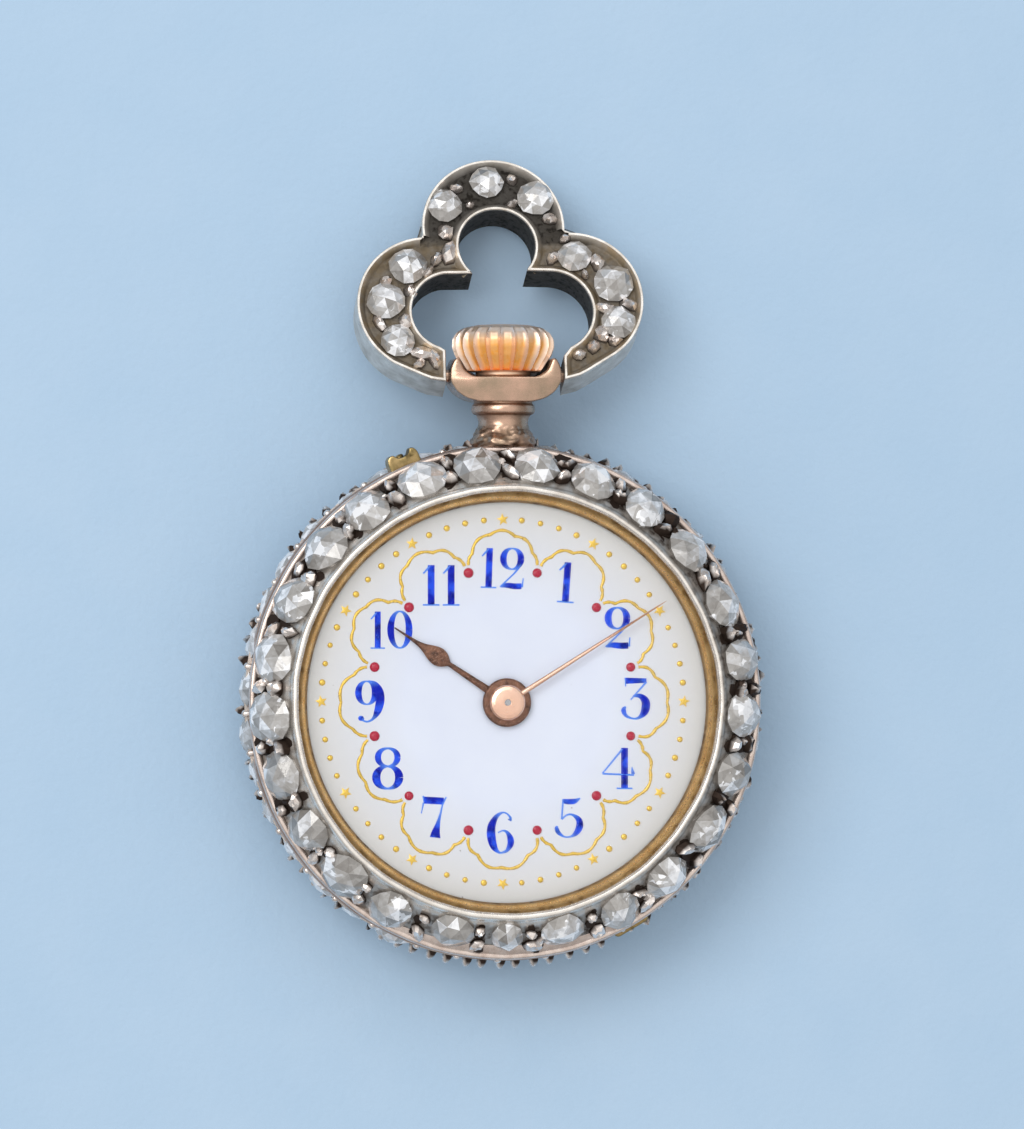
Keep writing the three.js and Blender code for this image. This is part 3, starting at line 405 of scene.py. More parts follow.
def fillet(points, radius, steps=3, closed=True):
    """Rounds the corners of an outline. Values after the first two are carried along."""
    out = []
    count = len(points)
    for i, p in enumerate(points):
        if not closed and i in (0, count - 1):
            out.append(tuple(p))
            continue
        ends = []
        for q in (points[i - 1], points[(i + 1) % count]):
            gap = hypot(q[0] - p[0], q[1] - p[1])
            t = min(radius, 0.45 * gap) / gap if gap > 1e-9 else 0
            ends.append([a + (b - a) * t for a, b in zip(p, q)])
        for k in range(steps + 1):
            t = k / steps
            near, mid, far = (1 - t) ** 2, 2 * t * (1 - t), t * t
            out.append(tuple(a * near + b * mid + c * far for a, b, c in zip(ends[0], p, ends[1])))
    return out


def quads(rows, count, closed=False):
    """Faces that join rings of points, each with the given count."""
    faces = []
    for i in range(rows if closed else rows - 1):
        j = (i + 1) % rows
        for s in range(count):
            t = (s + 1) % count
            faces.append((i * count + s, i * count + t, j * count + t, j * count + s))
    return faces


def closed_ends(rows, count):
    """The same, with a face over each end."""
    return quads(rows, count) + [tuple(range(count)), tuple(range((rows - 1) * count, rows * count))]


def lathe(profile, segments=160, about="z", ripple=None):
    """Turns a profile of (radius, height[, grime and shade]) about Z or the stem, into points, faces and
    their weights.
    """
    profile = [(*p, 0)[:3] for p in profile]
    on_axis = abs(profile[0][0]) < 1e-9 and abs(profile[-1][0]) < 1e-9
    rows = [p for p in profile if abs(p[0]) > 1e-9]
    points, grime_and_shade = [], []
    for row in rows:
        for s in range(segments):
            a = 2 * PI * s / segments
            r, g = ripple(a, *row) if ripple else (row[0], row[2])
            points.append((r * cos(a), r * sin(a), row[1]))
            grime_and_shade.append(g)
    faces = quads(len(rows), segments, closed=not on_axis)
    if on_axis:
        for row, start in ((profile[0], 0), (profile[-1], (len(rows) - 1) * segments)):
            tip = len(points)
            points.append((0, 0, row[1]))
            grime_and_shade.append(row[2])
            faces += [(tip, start + s, start + (s + 1) % segments) for s in range(segments)]
    if about == "stem":
        points = [(x, z, STEM_Z - y) for x, y, z in points]
    return points, faces, grime_and_shade


def offset(outline, distance):
    """Moves a closed counter-clockwise outline inwards by a small distance."""
    out = []
    count = len(outline)
    for i, (x, y) in enumerate(outline):
        ax, ay = outline[i - 1]
        bx, by = outline[(i + 1) % count]
        ux, uy = x - ax, y - ay
        vx, vy = bx - x, by - y
        ul, vl = hypot(ux, uy) or 1, hypot(vx, vy) or 1
        nx, ny = -uy / ul - vy / vl, ux / ul + vx / vl
        length = hypot(nx, ny) or 1
        nx, ny = nx / length, ny / length
        lean = max(0.45, nx * -uy / ul + ny * ux / ul)
        out.append((x + nx * distance / lean, y + ny * distance / lean))
    return out


def layers(levels):
    """Joins outlines of equal length, each (outline, height, grime and shade), with the first and last
    capped.
    """
    count = len(levels[0][0])
    points, grime_and_shade = [], []
    for outline, z, g in levels:
        points += [(x, y, z) for x, y in outline]
        grime_and_shade += [g] * count
    faces = quads(len(levels), count)
    for level in (0, len(levels) - 1):
        cap = [Vector((x, y, 0)) for x, y in levels[level][0]]
        faces += [tuple(level * count + k for k in tri) for tri in tessellate_polygon([cap])]
    return points, faces, grime_and_shade


def stack(outline, *levels):
    """One outline at several heights, each (inset, height, grime and shade)."""
    return layers([(offset(outline, inset), z, g) for inset, z, g in levels])


def clamp(value):
    return min(1, max(0, value))


def turned(points, degrees):
    """Turns points about Z, counter-clockwise."""
    c, s = cos(radians(degrees)), sin(radians(degrees))
    return [(x * c - y * s, x * s + y * c, z) for x, y, z in points]


def placed(points, origin, facing):
    """Points turned to three directions (across, along and up) and moved to a place."""
    axes = list(zip(origin, *facing))
    return [tuple(o + x * a + y * b + z * c for o, a, b, c in axes) for x, y, z in points]


class Heap:
    """Many small bodies gathered into one mesh."""

    def __init__(self):
        self.points, self.faces, self.tones, self.weight = [], [], [], []

    def put(self, points, faces, tones=None, weight=None):
        start = len(self.points)
        self.points += points
        self.faces += [tuple(start + k for k in face) for face in faces]
        self.tones += tones or [0.5] * len(faces)
        self.weight += weight or [0] * len(points)

    def place(self, made, origin, facing, weight=None):
        """Adds (points, faces[, tones]) at a place, turned to three directions."""
        self.put(placed(made[0], origin, facing), *made[1:], weight=weight)

    def solid(self):
        return self.points, self.faces

    def grimy(self):
        return self.points, self.faces, self.weight


def ball(radius, height, segments=12, rings=5, foot=0.35):
    """A rounded bead: a dome of the given height on a short foot."""
    around = [(cos(2 * PI * s / segments), sin(2 * PI * s / segments)) for s in range(segments)]
    points = []
    for k in range(rings):
        a = (PI / 2) * k / rings
        r = radius * cos(a)
        points += [(r * x, r * y, height * sin(a)) for x, y in around]
    low = len(points)
    points += [(radius * 0.9 * x, radius * 0.9 * y, -foot * height) for x, y in around] + [(0, 0, height)]
    faces = quads(rings, segments)
    for s in range(segments):
        t = (s + 1) % segments
        faces += [(low - segments + s, low - segments + t, low + segments), (low + s, low + t, t, s)]
    return points, faces + [tuple(range(low, low + segments))]


def rose_cut(rng, across, along, height):
    """An old rose-cut stone with an uneven belt, six upper facets and eighteen lower ones."""
    spin = rng.uniform(0, 60)
    shift = (rng.uniform(-0.12, 0.12) * across, rng.uniform(-0.12, 0.12) * along)

    def at(share, degrees, z, wobble):
        a = radians(degrees + spin)
        r = share * (1 + rng.uniform(-wobble, wobble))
        return (across * r * cos(a), along * r * sin(a), z)

    belt = [at(1, 30 * k, 0, 0.065) for k in range(12)]
    low = [(x * 0.93, y * 0.93, -0.3) for x, y, _ in belt]
    crown = []
    for k in range(6):
        x, y, z = at(0.6, 60 * k + 30, height * rng.uniform(0.6, 0.78), 0.16)
        crown.append((x + shift[0] * 0.7, y + shift[1] * 0.7, z))
    points = low + belt + crown + [(shift[0], shift[1], height)]
    # Each facet gets a painted light: dark at the belt and below, with a few painted bright as glints.
    base = rng.uniform(0.5, 0.7)
    faces = [tuple(range(12))] + quads(2, 12)
    tones = [0.1] + [rng.uniform(0.15, 0.35) for _ in range(12)]

    def facet(face, usual, glint_chance):
        faces.append(face)
        roll = rng.random()
        if roll < glint_chance:
            tones.append(rng.uniform(0.88, 1))
        elif roll > 0.95:
            tones.append(rng.uniform(0.3, 0.42))
        else:
            tones.append(min(1, max(0.2, usual + rng.gauss(0, 0.09))))

    for k in range(6):
        m = (k + 1) % 6
        g = [12 + (2 * k + d) % 12 for d in range(3)]
        facet((g[0], g[1], 24 + k), base - 0.04, 0.06)
        facet((g[1], g[2], 24 + k), base - 0.04, 0.06)
        facet((g[2], 24 + m, 24 + k), base, 0.08)
        facet((24 + k, 24 + m, 30), base + 0.08, 0.3)
    return points, faces, tones


def directions(degrees, slope, side=1):
    """Across, up and out of a cone's surface at an angle round the dial. Side is -1 under the case."""
    a = radians(degrees)
    east, north = sin(a), cos(a)
    c, s = side * cos(slope), sin(slope)
    return (north, -east, 0), (-east * c, -north * c, s), (east * s, north * s, c)


LEVEL = ((1, 0, 0), (0, 1, 0), (0, 0, 1))  # directions for what stands on a level face


def ring_place(degrees, radius, z=0):
    """A place at an angle round the dial."""
    a = radians(degrees)
    return radius * sin(a), radius * cos(a), z


# ---- case ----
def behind_hinge(points):
    """The band of the case is cut flat behind the hinge, so that the covers' rims can swing past."""
    return [(max(x, HINGE_X) if abs(y) < HINGE_FLAT else x, y, z) for x, y, z in points]


band = fillet([
    (10.55, BACK_SEAM, 0.5), (CASE_RADIUS - 0.12, BACK_SEAM, 0.9),
    (CASE_RADIUS, BACK_SEAM + 0.16, 0.35), (CASE_RADIUS + 0.03, BACK_SEAM + 0.7, 0),
    (CASE_RADIUS, FRONT_SEAM - 0.6, 0),
    (CASE_RADIUS + 0.04, FRONT_SEAM - 0.25, 0.2), (CASE_RADIUS - 0.12, FRONT_SEAM - 0.06, 0.9),
    (11, FRONT_SEAM - 0.06, 0.6), (11, 4.72, 0.5), (10.55, 4.72, 0.5),
], 0.08)
points, faces, grime_and_shade = lathe(band, 192)
piece("case_band", (behind_hinge(points), faces, grime_and_shade), "case", CASE_GOLD, ["case_middle"])

# ---- bezel ----
CONE_SLOPE = radians(46.6)
BEZEL_FOOT = FRONT_SEAM + 0.04
bezel_profile = fillet([
    (11.15, BEZEL_FOOT, 0.6), (12.34, BEZEL_FOOT, 0.5), (12.34, FRONT_SEAM + 0.34, 0.9),
    (11.14, 7.02, 0.85),
    (11, 7.2, 0.25), (10.82, 7.36, 0.1), (10.78, 7.44, 0.25), (10.74, 7.5, 0.05),
    (10.68, BEZEL_TOP - 0.04, 0), (10.56, BEZEL_TOP + 0.02, 0), (10.44, BEZEL_TOP - 0.01, 0),
    (10.38, BEZEL_TOP - 0.12, 0.1), (10.36, 7.1, 0.5), (10.55, 7.05, 0.4), (10.55, 6.36, 0.4),
    (11.15, 6.36, 0.6),
], 0.06, 2)


def worn(angle, radius, height, grime_and_shade):
    """The soft silver of the bezel has settled a little unevenly. Its right side has painted shade."""
    sway = 0.016 * sin(5 * angle + 1) + 0.01 * sin(13 * angle) + 0.01 * sin(29 * angle + 2)
    grime_and_right_shade = grime_and_shade * (1.08 + 0.32 * cos(angle - 0.3)) if radius > 10.85 else grime_and_shade
    # The lip and ridge are painted darker towards the right, away from the key light: painted shade.
    if 10.6 < radius < 11.1:
        grime_and_right_shade += 0.7 * max(0, cos(angle - 0.2))
    return radius + (sway if height > FRONT_SEAM + 0.2 else 0), clamp(grime_and_right_shade)


piece("bezel_frame", lathe(bezel_profile, 256, ripple=worn), "bezel_group", SILVER, ["bezel"])

# The gold rim that the silver is backed with. It is left plain and broad at 6 o'clock.
rim_profile = fillet([
    (12.32, BEZEL_FOOT, 0.6), (12.56, BEZEL_FOOT, 0.5), (12.68, FRONT_SEAM + 0.14, 0.1),
    (12.68, FRONT_SEAM + 0.3, 0), (12.6, FRONT_SEAM + 0.42, 0), (12.46, FRONT_SEAM + 0.45, 0),
    (12.32, FRONT_SEAM + 0.39, 0.8),
], 0.05, 2)
RIM_SHOULDER = FRONT_SEAM + 0.3
BROADENING = 0.36
RIM_RISE = 1.06  # how steeply the broadened part climbs, close to the bezel's own cone


def broad_below(angle, radius, height, grime_and_shade):
    """Draws the rim's inner edge in towards the stones round 6 o'clock."""
    near = max(0, 1 - ((angle - 1.5 * PI) / 0.62) ** 2)
    inner = height > RIM_SHOULDER and radius < 12.4
    return radius - (BROADENING * near if inner else 0) + 0.008 * sin(23 * angle), grime_and_shade * (1 - near)


points, faces, grime_and_shade = lathe(rim_profile, 256, ripple=broad_below)
on_cone = []
for x, y, z in points:
    far_in = max(0, 12.3 - hypot(x, y))
    on_cone.append((x, y, z + (RIM_RISE * far_in if z > RIM_SHOULDER else 0)))
piece("bezel_rim", (on_cone, faces, grime_and_shade), "bezel_group", RIM_GOLD)

stones, beads = Heap(), Heap()
rng = random.Random(11)
STONE_RADIUS, STONE_Z = 11.75, 6.62
PITS = ((11.62, 6.62, 0.5), (12.2, 6.07, 0.42), (11.1, 7.06, 0.3))  # radius, height and size
SMALL = {11: 0.9, 12: 0.76, 13: 0.9}  # the stones at 6 o'clock are smaller and sit higher up the bezel
LOW_STONES = range(9, 16)  # round 6 o'clock, where the claws are low


def nugget(size, tall, foot=1.3):
    """An uneven claw, as pushed up by hand with a graver and pressed over the stones."""
    bead, faces = ball(size * rng.uniform(0.85, 1.12), tall * rng.uniform(0.85, 1.1), 8, 3, foot=foot)
    squeeze, turn = rng.uniform(0.66, 1.35), rng.uniform(0, PI)
    c, s = cos(turn), sin(turn)
    out = []
    for x, y, z in bead:
        x, y = x * squeeze * rng.uniform(0.76, 1.22), y / squeeze * rng.uniform(0.76, 1.22)
        out.append((x * c - y * s, x * s + y * c, z * rng.uniform(0.72, 1.15) if z > 0.1 else z))
    return out, faces


def pit(size):
    """A cut beside a claw, painted dark as the shade in it: a flat patch with an uneven edge."""
    edge = []
    for k in range(9):
        r = size * rng.uniform(0.75, 1.2)
        edge.append((r * cos(2 * PI * k / 9), r * sin(2 * PI * k / 9)))
    return [(x, y, z) for z in (-0.2, 0) for x, y in edge], closed_ends(2, 9)


def dark_below(made, height):
    """Painted shade for a claw's foot, where it meets its seat, up to a height."""
    return [1 if z < height else 0 for _, _, z in made[0]]


for i in range(STONE_COUNT):
    angle = STONE_PHASE + 360 / STONE_COUNT * i + rng.uniform(-0.8, 0.8)
    scale, low = SMALL.get(i, 1), i in LOW_STONES
    higher = 0.16 if i in SMALL else 0
    radius = STONE_RADIUS - higher + rng.uniform(-0.05, 0.05)
    z = STONE_Z + higher + rng.uniform(-0.05, 0.05)
    wide, long = scale * rng.uniform(1.06, 1.3), scale * rng.uniform(1.2, 1.36)
    made = rose_cut(rng, wide, long, 0.58 + rng.uniform(-0.08, 0.12))
    stones.place(made, ring_place(angle, radius, z), directions(angle, CONE_SLOPE))
    between = angle + 180 / STONE_COUNT
    # Each pit is a patch painted fully dark: painted shade in the recesses between stones.
    for radius, z, size in PITS:
        at_angle = between + rng.uniform(-1.6, 1.6)
        made = pit(size * (0.6 if low else 1))
        origin = ring_place(at_angle, radius + rng.uniform(-0.1, 0.1), z + 0.05)
        beads.place(made, origin, directions(at_angle, CONE_SLOPE), [1] * len(made[0]))
    small = rng.random() < 0.6
    lower = 0.7 if low else 1
    claws = [
        (11.38, 6.93, 0.42 * lower, 0.5 * lower, 0), (12.1, 6.18, 0.42, 0.46 * lower, 0),
        (11.74, 6.52, 0.26, 0.34, rng.choice((-1.5, 1.5))),
    ]
    for radius, z, size, tall, aside in claws if small else claws[:2]:
        at_angle = between + aside + rng.uniform(-0.8, 0.8)
        shift = rng.uniform(-0.1, 0.1)
        made = nugget(size, tall)
        # Feet are painted dark higher up on the right, away from the key light: painted shade.
        foot = (rng.uniform(0.05, 0.35) + (0.15 if angle < 150 else 0)) * (0.3 if low else 1)
        origin = ring_place(at_angle, radius + shift, z - shift)
        beads.place(made, origin, directions(at_angle, CONE_SLOPE), dark_below(made, foot))
piece(
    "bezel_diamonds", stones.solid(), "bezel_group", DIAMOND, ["bezel_stones"], flat=True,
    tones=stones.tones,
)
piece("bezel_beads", beads.grimy(), "bezel_group", BEAD_SILVER, sharp=24)

# The ring's inner edge, where it meets the dial, is painted dark: the painted shadow of the gap.
ring_profile = fillet([
    (9.86, 6.42, 1), (10.5, 6.42, 0.5), (10.5, 7, 0.5), (10.37, 7.04, 0.8), (10.33, 7, 0.95),
    (10.26, 6.94, 0.9), (10.2, 6.9, 0.75), (10.14, 6.85, 0), (10.04, 6.72, 0), (9.99, 6.65, 0.3),
    (9.94, 6.61, 0.95), (9.88, 6.5, 1),
], 0.03, 2)
piece("gilt_ring", lathe(ring_profile, 192), "bezel_group", RING_GILT, ["bezel_ring"])

glass_profile = [
    (0, 7.6), (3, 7.57), (6, 7.45), (8, 7.3), (9.3, 7.15), (10.05, 7.1), (10.32, 7.1), (10.36, 7.13),
    (10.36, 7.27), (10.32, 7.34), (10.1, 7.46), (9.2, 7.63), (8, 7.78), (6, 7.95), (3, 8.07), (0, 8.1),
]
piece("glass", lathe(glass_profile, 128)[:2], "bezel_group", GLASS, ["crystal"], sharp=50)


# ---- back ----
DOME_FLAT, DOME_Z = 4.5, 0.3  # radius and height of the flat in the middle of the back


def dome_at(share, rim=12.75, low=DOME_Z, high=BACK_SEAM):
    """Radius and height on the back's dome, from its flat (share 0) to its rim (share 1)."""
    a = PI / 2 * share
    return DOME_FLAT + (rim - DOME_FLAT) * sin(a), low + (high - low) * (1 - cos(a))


SHELL_TOP = BACK_SEAM - 0.03
shell = [(0, DOME_Z, 0.7)]
shell += [(*dome_at(k / 24, high=SHELL_TOP), 0.3 if k > 21 else 0.75) for k in range(25)]
shell += [(*dome_at(k / 24, 12.4, 0.65, SHELL_TOP), 0.1) for k in range(24, -1, -1)] + [(0, 0.65, 0.1)]
piece("back_shell", lathe(shell, 192), "back_cover_group", SILVER, ["back_cover"])

pave, grains, claws = Heap(), Heap(), Heap()
rng = random.Random(5)


def on_dome(distance):
    """Radius, height and slope angle on the back at a distance from its centre, along the surface."""
    if distance <= DOME_FLAT:
        return distance, DOME_Z, 0
    walked, share = DOME_FLAT, 0
    r, z = dome_at(0)
    while walked < distance and share < 1:
        share += 0.002
        r2, z2 = dome_at(share)
        walked += hypot(r2 - r, z2 - z)
        r, z = r2, z2
    r2, z2 = dome_at(share + 0.01)
    return r, z, atan2(z2 - z, r2 - r)


BACK_ROWS = [(0, 1), (2.25, 6), (4.45, 12), (6.6, 18), (8.75, 25), (10.9, 31), (13.02, 37)]
BARE = (163, 203)  # where the rim of the back has claws only
RIM_ROW_Z, RIM_ROW_SLOPE = 3.14, radians(96)
CLAW_COUNT, CLAW_RADIUS, CLAW_Z, CLAW_SLOPE = 94, 12.62, 3.05, radians(84)
grain_shape = ball(0.2, 0.16, 8, 4, foot=2)
for row, (distance, count) in enumerate(BACK_ROWS):
    radius, z, slope = on_dome(distance)
    last = row == len(BACK_ROWS) - 1
    for i in range(count):
        angle = 360 / count * i + 5 * row + (rng.uniform(-1, 1) if last else 0)
        facing = directions(angle, slope, -1)
        size, sink, tall = 0.97, 0.02, 0.27
        if last:
            facing = directions(angle, RIM_ROW_SLOPE, -1)
            size, z = 1, RIM_ROW_Z
            sink, tall = rng.uniform(0.12, 0.26), rng.uniform(0.3, 0.44)
            if BARE[0] < angle % 360 < BARE[1]:
                sink, tall = -0.3, 0.22
        origin = tuple(a + b * sink for a, b in zip(ring_place(angle, radius, z), facing[2]))
        wide, long = size * rng.uniform(0.94, 1.02), size * rng.uniform(0.92, 1)
        points, faces, tones = rose_cut(rng, wide, long, tall)
        if last:
            # The outer row is painted lighter on the left, towards the key light, and darker on the right:
            # painted light and shade.
            shade = 0.12 if 190 < angle % 360 < 345 else -0.14
            tones = [clamp(t + shade) for t in tones]
        pave.place((points, faces, tones), origin, facing)
        if row:
            half = angle + 180 / count
            for reach_out in (min(13.9, distance + 0.95), distance - 0.75):
                r2, z2, s2 = on_dome(reach_out)
                grains.place(grain_shape, ring_place(half, r2, z2), directions(half, s2, -1))
piece(
    "back_diamonds", pave.solid(), "back_cover_group", DIAMOND, ["back_stones"], flat=True,
    tones=pave.tones,
)
# Claws along the rim of the back, seen from the front between its outer stones.
rng = random.Random(8)
for i in range(CLAW_COUNT):
    angle = 360 / CLAW_COUNT * i + rng.uniform(-0.5, 0.5)
    bare = BARE[0] - 6 < angle % 360 < BARE[1] + 6
    on_right = 15 < angle % 360 < 150
    if not bare and rng.random() < (0.1 if on_right else 0.3):
        continue
    if bare:
        tall = 0.6
        points, faces = ball(0.27, tall, 8, 3, foot=0.8)
    else:
        tall = rng.uniform(0.36, 0.62)
        width = rng.uniform(0.26, 0.46) if on_right else rng.uniform(0.2, 0.32)
        points, faces = nugget(width, tall, foot=0.8)
    points = [(x + 0.12 * max(0, z), y, z) for x, y, z in points]
    # The lower part of each claw is painted dark: painted shade in the gaps between the outer stones.
    weight = [0 if z > 0.8 * tall or (z > 0.45 * tall and x > 0.1) else 1 for x, y, z in points]
    facing = directions(angle, CLAW_SLOPE, -1)
    claws.place((points, faces), ring_place(angle, CLAW_RADIUS, CLAW_Z), facing, weight)
piece("back_beads", grains.solid(), "back_cover_group", BEAD_SILVER, sharp=60)
piece("back_claws", claws.grimy(), "back_cover_group", BEAD_SILVER, sharp=38)

# The guard of the setting pin: a saddle with two horns, seen end on from the front.
saddle = fillet([
    (-0.74, 12.3), (0.88, 12.3), (0.88, 13.12), (0.78, 13.34), (0.6, 13.43), (0.5, 13.34),
    (0.4, 13.18), (0.22, 13.12), (-0.08, 13.12), (-0.2, 13.2), (-0.3, 13.36), (-0.46, 13.4),
    (-0.66, 13.28), (-0.74, 13.06),
], 0.12)
(_, _, low), (_, _, high) = reach("setting_guard")
points, faces, grime_and_shade = stack(
    saddle, (0.08, low, 0.6), (0, low + 0.08, 0.5), (0, (low + high) / 2, 0.2), (0, high - 0.1, 0),
    (0.03, high - 0.03, 0), (0.1, high, 0), (0.2, high - 0.02, 0.2),
)
# The inner face of the right horn is painted dark: painted shade.
grime_and_shade = [clamp(g + (0.9 if 0.2 < x < 0.52 and y > 13 else 0)) for g, (x, y, z) in zip(grime_and_shade, points)]
piece(
    "setting_guard_shaped", (turned(points, SETTING_ANGLE), faces, grime_and_shade), "case", GUARD_GOLD,
    ["setting_guard"], sharp=35,
)

# The thumb lip of the back cover.
lip = fillet([
    (0.95, 12.45), (0.95, 12.86), (0.8, 12.99), (-0.8, 12.99), (-0.95, 12.86), (-0.95, 12.45)
], 0.08)
low, high = BACK_SEAM - 0.4, BACK_SEAM - 0.04
points, faces, grime_and_shade = stack(
    lip, (0.05, low, 0.4), (0, low + 0.05, 0.2), (0, high - 0.05, 0), (0.05, high, 0.3)
)
piece("thumb_lip", (turned(points, -LIP_ANGLE), faces, grime_and_shade), "back_cover_group", GUARD_GOLD)

# ---- pendant and crown ----
neck = fillet([
    (0, 12.62, 0.8), (1.5, 12.62, 0.8), (1.6, 12.78, 0.5), (1.58, 12.86, 0.3), (1.56, 12.94, 0.3),
    (1.53, 13.02, 0.3), (1.5, 13.1, 0.3), (1.47, 13.18, 0.2), (1.44, 13.26, 0.2), (1.4, 13.34, 0.2),
    (1.36, 13.42, 0.1), (1.31, 13.5, 0.1), (1.27, 13.6, 0), (1.24, 13.7, 0), (1.23, 13.82, 0),
    (1.24, 13.95, 0), (1.3, 14.12, 0.3), (1.34, 14.22, 0.9), (1.46, 14.25, 0.7), (1.56, 14.34, 0.1),
    (1.58, 14.5, 0), (1.55, 14.68, 0), (1.44, 14.78, 0.7), (1.46, 14.98, 0.4), (1.4, 15.2, 0),
    (0, 15.2, 0),
], 0.05, 2, closed=False)


def hammered(angle, radius, height, grime_and_shade):
    """The foot of the neck, where it is soldered to the case, is crumpled and pitted."""
    low = clamp((13.75 - height) / 0.5) if radius > 0.9 else 0
    place = Vector((2.6 * cos(angle), 2.6 * sin(angle), 2.4 * height))
    crease = grain(place) + 0.6 * grain(place * 2.3)
    # The dips of the crumple are painted darker: painted shade in the creases.
    return radius + 0.14 * low * crease, clamp(grime_and_shade * (1 - 0.5 * low) + 1.3 * low * max(0, -crease))


piece("pendant_neck", lathe(neck, 96, "stem", hammered), "case", ROSE_GOLD, sharp=40)

CRADLE_Y, CRADLE_RADIUS = 15.9, 1.95
half = [
    (1.3, 14.84), (1.95, 15), (2.45, 15.34), (2.78, 15.86), (2.74, 16.5), (2.52, 16.98), (2.31, 17),
    (2.1, 16.42), (1.62, 16.1),
]
outline = fillet(half + [(-x, y) for x, y in reversed(half)], 0.2, 4)
levels = []
for depth in (-1.6, -1.56, -1.45, -1.3, -1.1, -0.85, -0.6, -0.3, 0, 0.35, 0.7, 1, 1.25, 1.45, 1.56, 1.6):
    belly = sqrt(CRADLE_RADIUS**2 - depth**2)
    level = []
    for x, y in offset(outline, {1.6: 0.09, 1.56: 0.03}.get(abs(depth), 0)):
        # Behind the crown's axis the cradle closes in round the crown, as a bowl.
        if depth < 0 and abs(x) < 2.36 and y > 16.05:
            x = copysign(sqrt(max(0.3, x * x - 0.9 * depth * depth)), x)
        level.append((x, min(CRADLE_Y + belly, max(CRADLE_Y - belly, y))))
    levels.append((level, STEM_Z + depth, 0))
points, faces, _ = layers(levels)
# The bowl behind and below the crown is painted dark: painted shade round the crown.
grime_and_shade = [1 if y > 16 and abs(x) < 2.3 and z < STEM_Z + 0.9 else 0 for x, y, z in points]
piece("pendant_head", (points, faces, grime_and_shade), "case", ROSE_GOLD, ["pendant"], sharp=35)

CROWN_RIBS = 22
crown_profile = fillet([
    (0, 16.12, 0.5), (1.36, 16.12, 0.5), (1.36, 16.36, 0.6), (1.72, 16.34, 0.8), (1.92, 16.42, 0.5),
    (2.16, 16.8, 0.4), (2.4, 17.15, 0.3), (2.54, 17.55, 0.2), (2.52, 17.95, 0.1), (2.32, 18.28, 0),
    (1.96, 18.52, 0), (1.3, 18.66, 0), (0.6, 18.7, 0), (0, 18.71, 0),
], 0.1, 3, closed=False)


def flute(angle, radius, height, grime_and_shade):
    """Concave flutes between thin ridges, which fade out on the domed top and deepen towards the foot."""
    if radius < 1.5 or height < 16.38:
        return radius, 0.25
    down = clamp((18.66 - height) / 1.3)
    wave = min(1, abs(sin(CROWN_RIBS * angle / 2)) * 1.5) ** 0.7
    # The hollows of the flutes are painted deep orange, more so towards the foot: painted shade.
    colour = max(0, wave - 0.3) * 1.5 * min(1, 0.2 + max(0, down - 0.35) * 1.7)
    return radius - 0.32 * down**0.7 * wave, clamp(colour)


made = lathe(crown_profile, CROWN_RIBS * 16, "stem", flute)
piece("winding_crown", made, "crown_group", CROWN_GOLD, ["crown"], sharp=50)


# ---- bow ----
MOUTH_HALF = 2.93


def arc(x, y, r, start, end, steps):
    """Points on an arc, its angles in degrees from the right, counter-clockwise."""
    angles = [radians(start + (end - start) * k / steps) for k in range(steps + 1)]
    return [(x + r * cos(a), y + r * sin(a)) for a in angles]


def bow_side(inner_x, inner_y, inner_radius, mouth_top, heel, mouth_low, drop):
    """One side of the trefoil, upright: outer edge, then inner (marked 1). The sides differ a little."""
    outside = [
        *arc(0, 7.46, 3.56, 90, -8, 30), *arc(3.56, 3.4 + drop, 3.57, 91, -57, 44), (4.13, heel),
        (3.7, heel - 0.2), (2.9, mouth_low),
    ]
    inside = [
        (2.9, mouth_top), *arc(inner_x, inner_y, inner_radius, -67, 84, 34), (1.36, 5.07),
        *arc(0, 6.47, 1.9, -42, 90, 26),
    ]
    return [(x, y, 0) for x, y in outside] + [(x, y, 1) for x, y in inside]


def lean(x, y):
    """Turns a point of the trefoil in its own plane, as it hangs a little askew."""
    c, s = cos(BOW_LEAN), sin(BOW_LEAN)
    return x * c - y * s, x * s + y * c


def bow_outline():
    """The trefoil in its own plane, with its mouth cut square to the pivots."""
    right = bow_side(2.45, 2.88, 2.1, 0.5, -0.38, -0.76, 0)
    left = bow_side(2.45, 3.16, 1.98, 1.13, -0.14, -0.5, 0.16)
    out = []
    for x, y, inner in right + [(-x, y, inner) for x, y, inner in reversed(left[1:-1])]:
        x += 0.18 if 4.9 < y < 8.4 and abs(x) < 2.2 else 0.08 * clamp(y)
        x, y = lean(x, y)
        if y < 1.4 and abs(x) < MOUTH_HALF + 0.12:
            x = copysign(MOUTH_HALF, x)
        out.append((x, y, inner))
    return out[::-1]


def bow_place(made):
    """Moves a solid from the trefoil's own plane to the pivots, where the bow lies back."""
    c, s = cos(-BOW_TILT), sin(-BOW_TILT)
    return [(x, PIVOT_Y + y * c - z * s, STEM_Z + y * s + z * c) for x, y, z in made[0]], *made[1:]


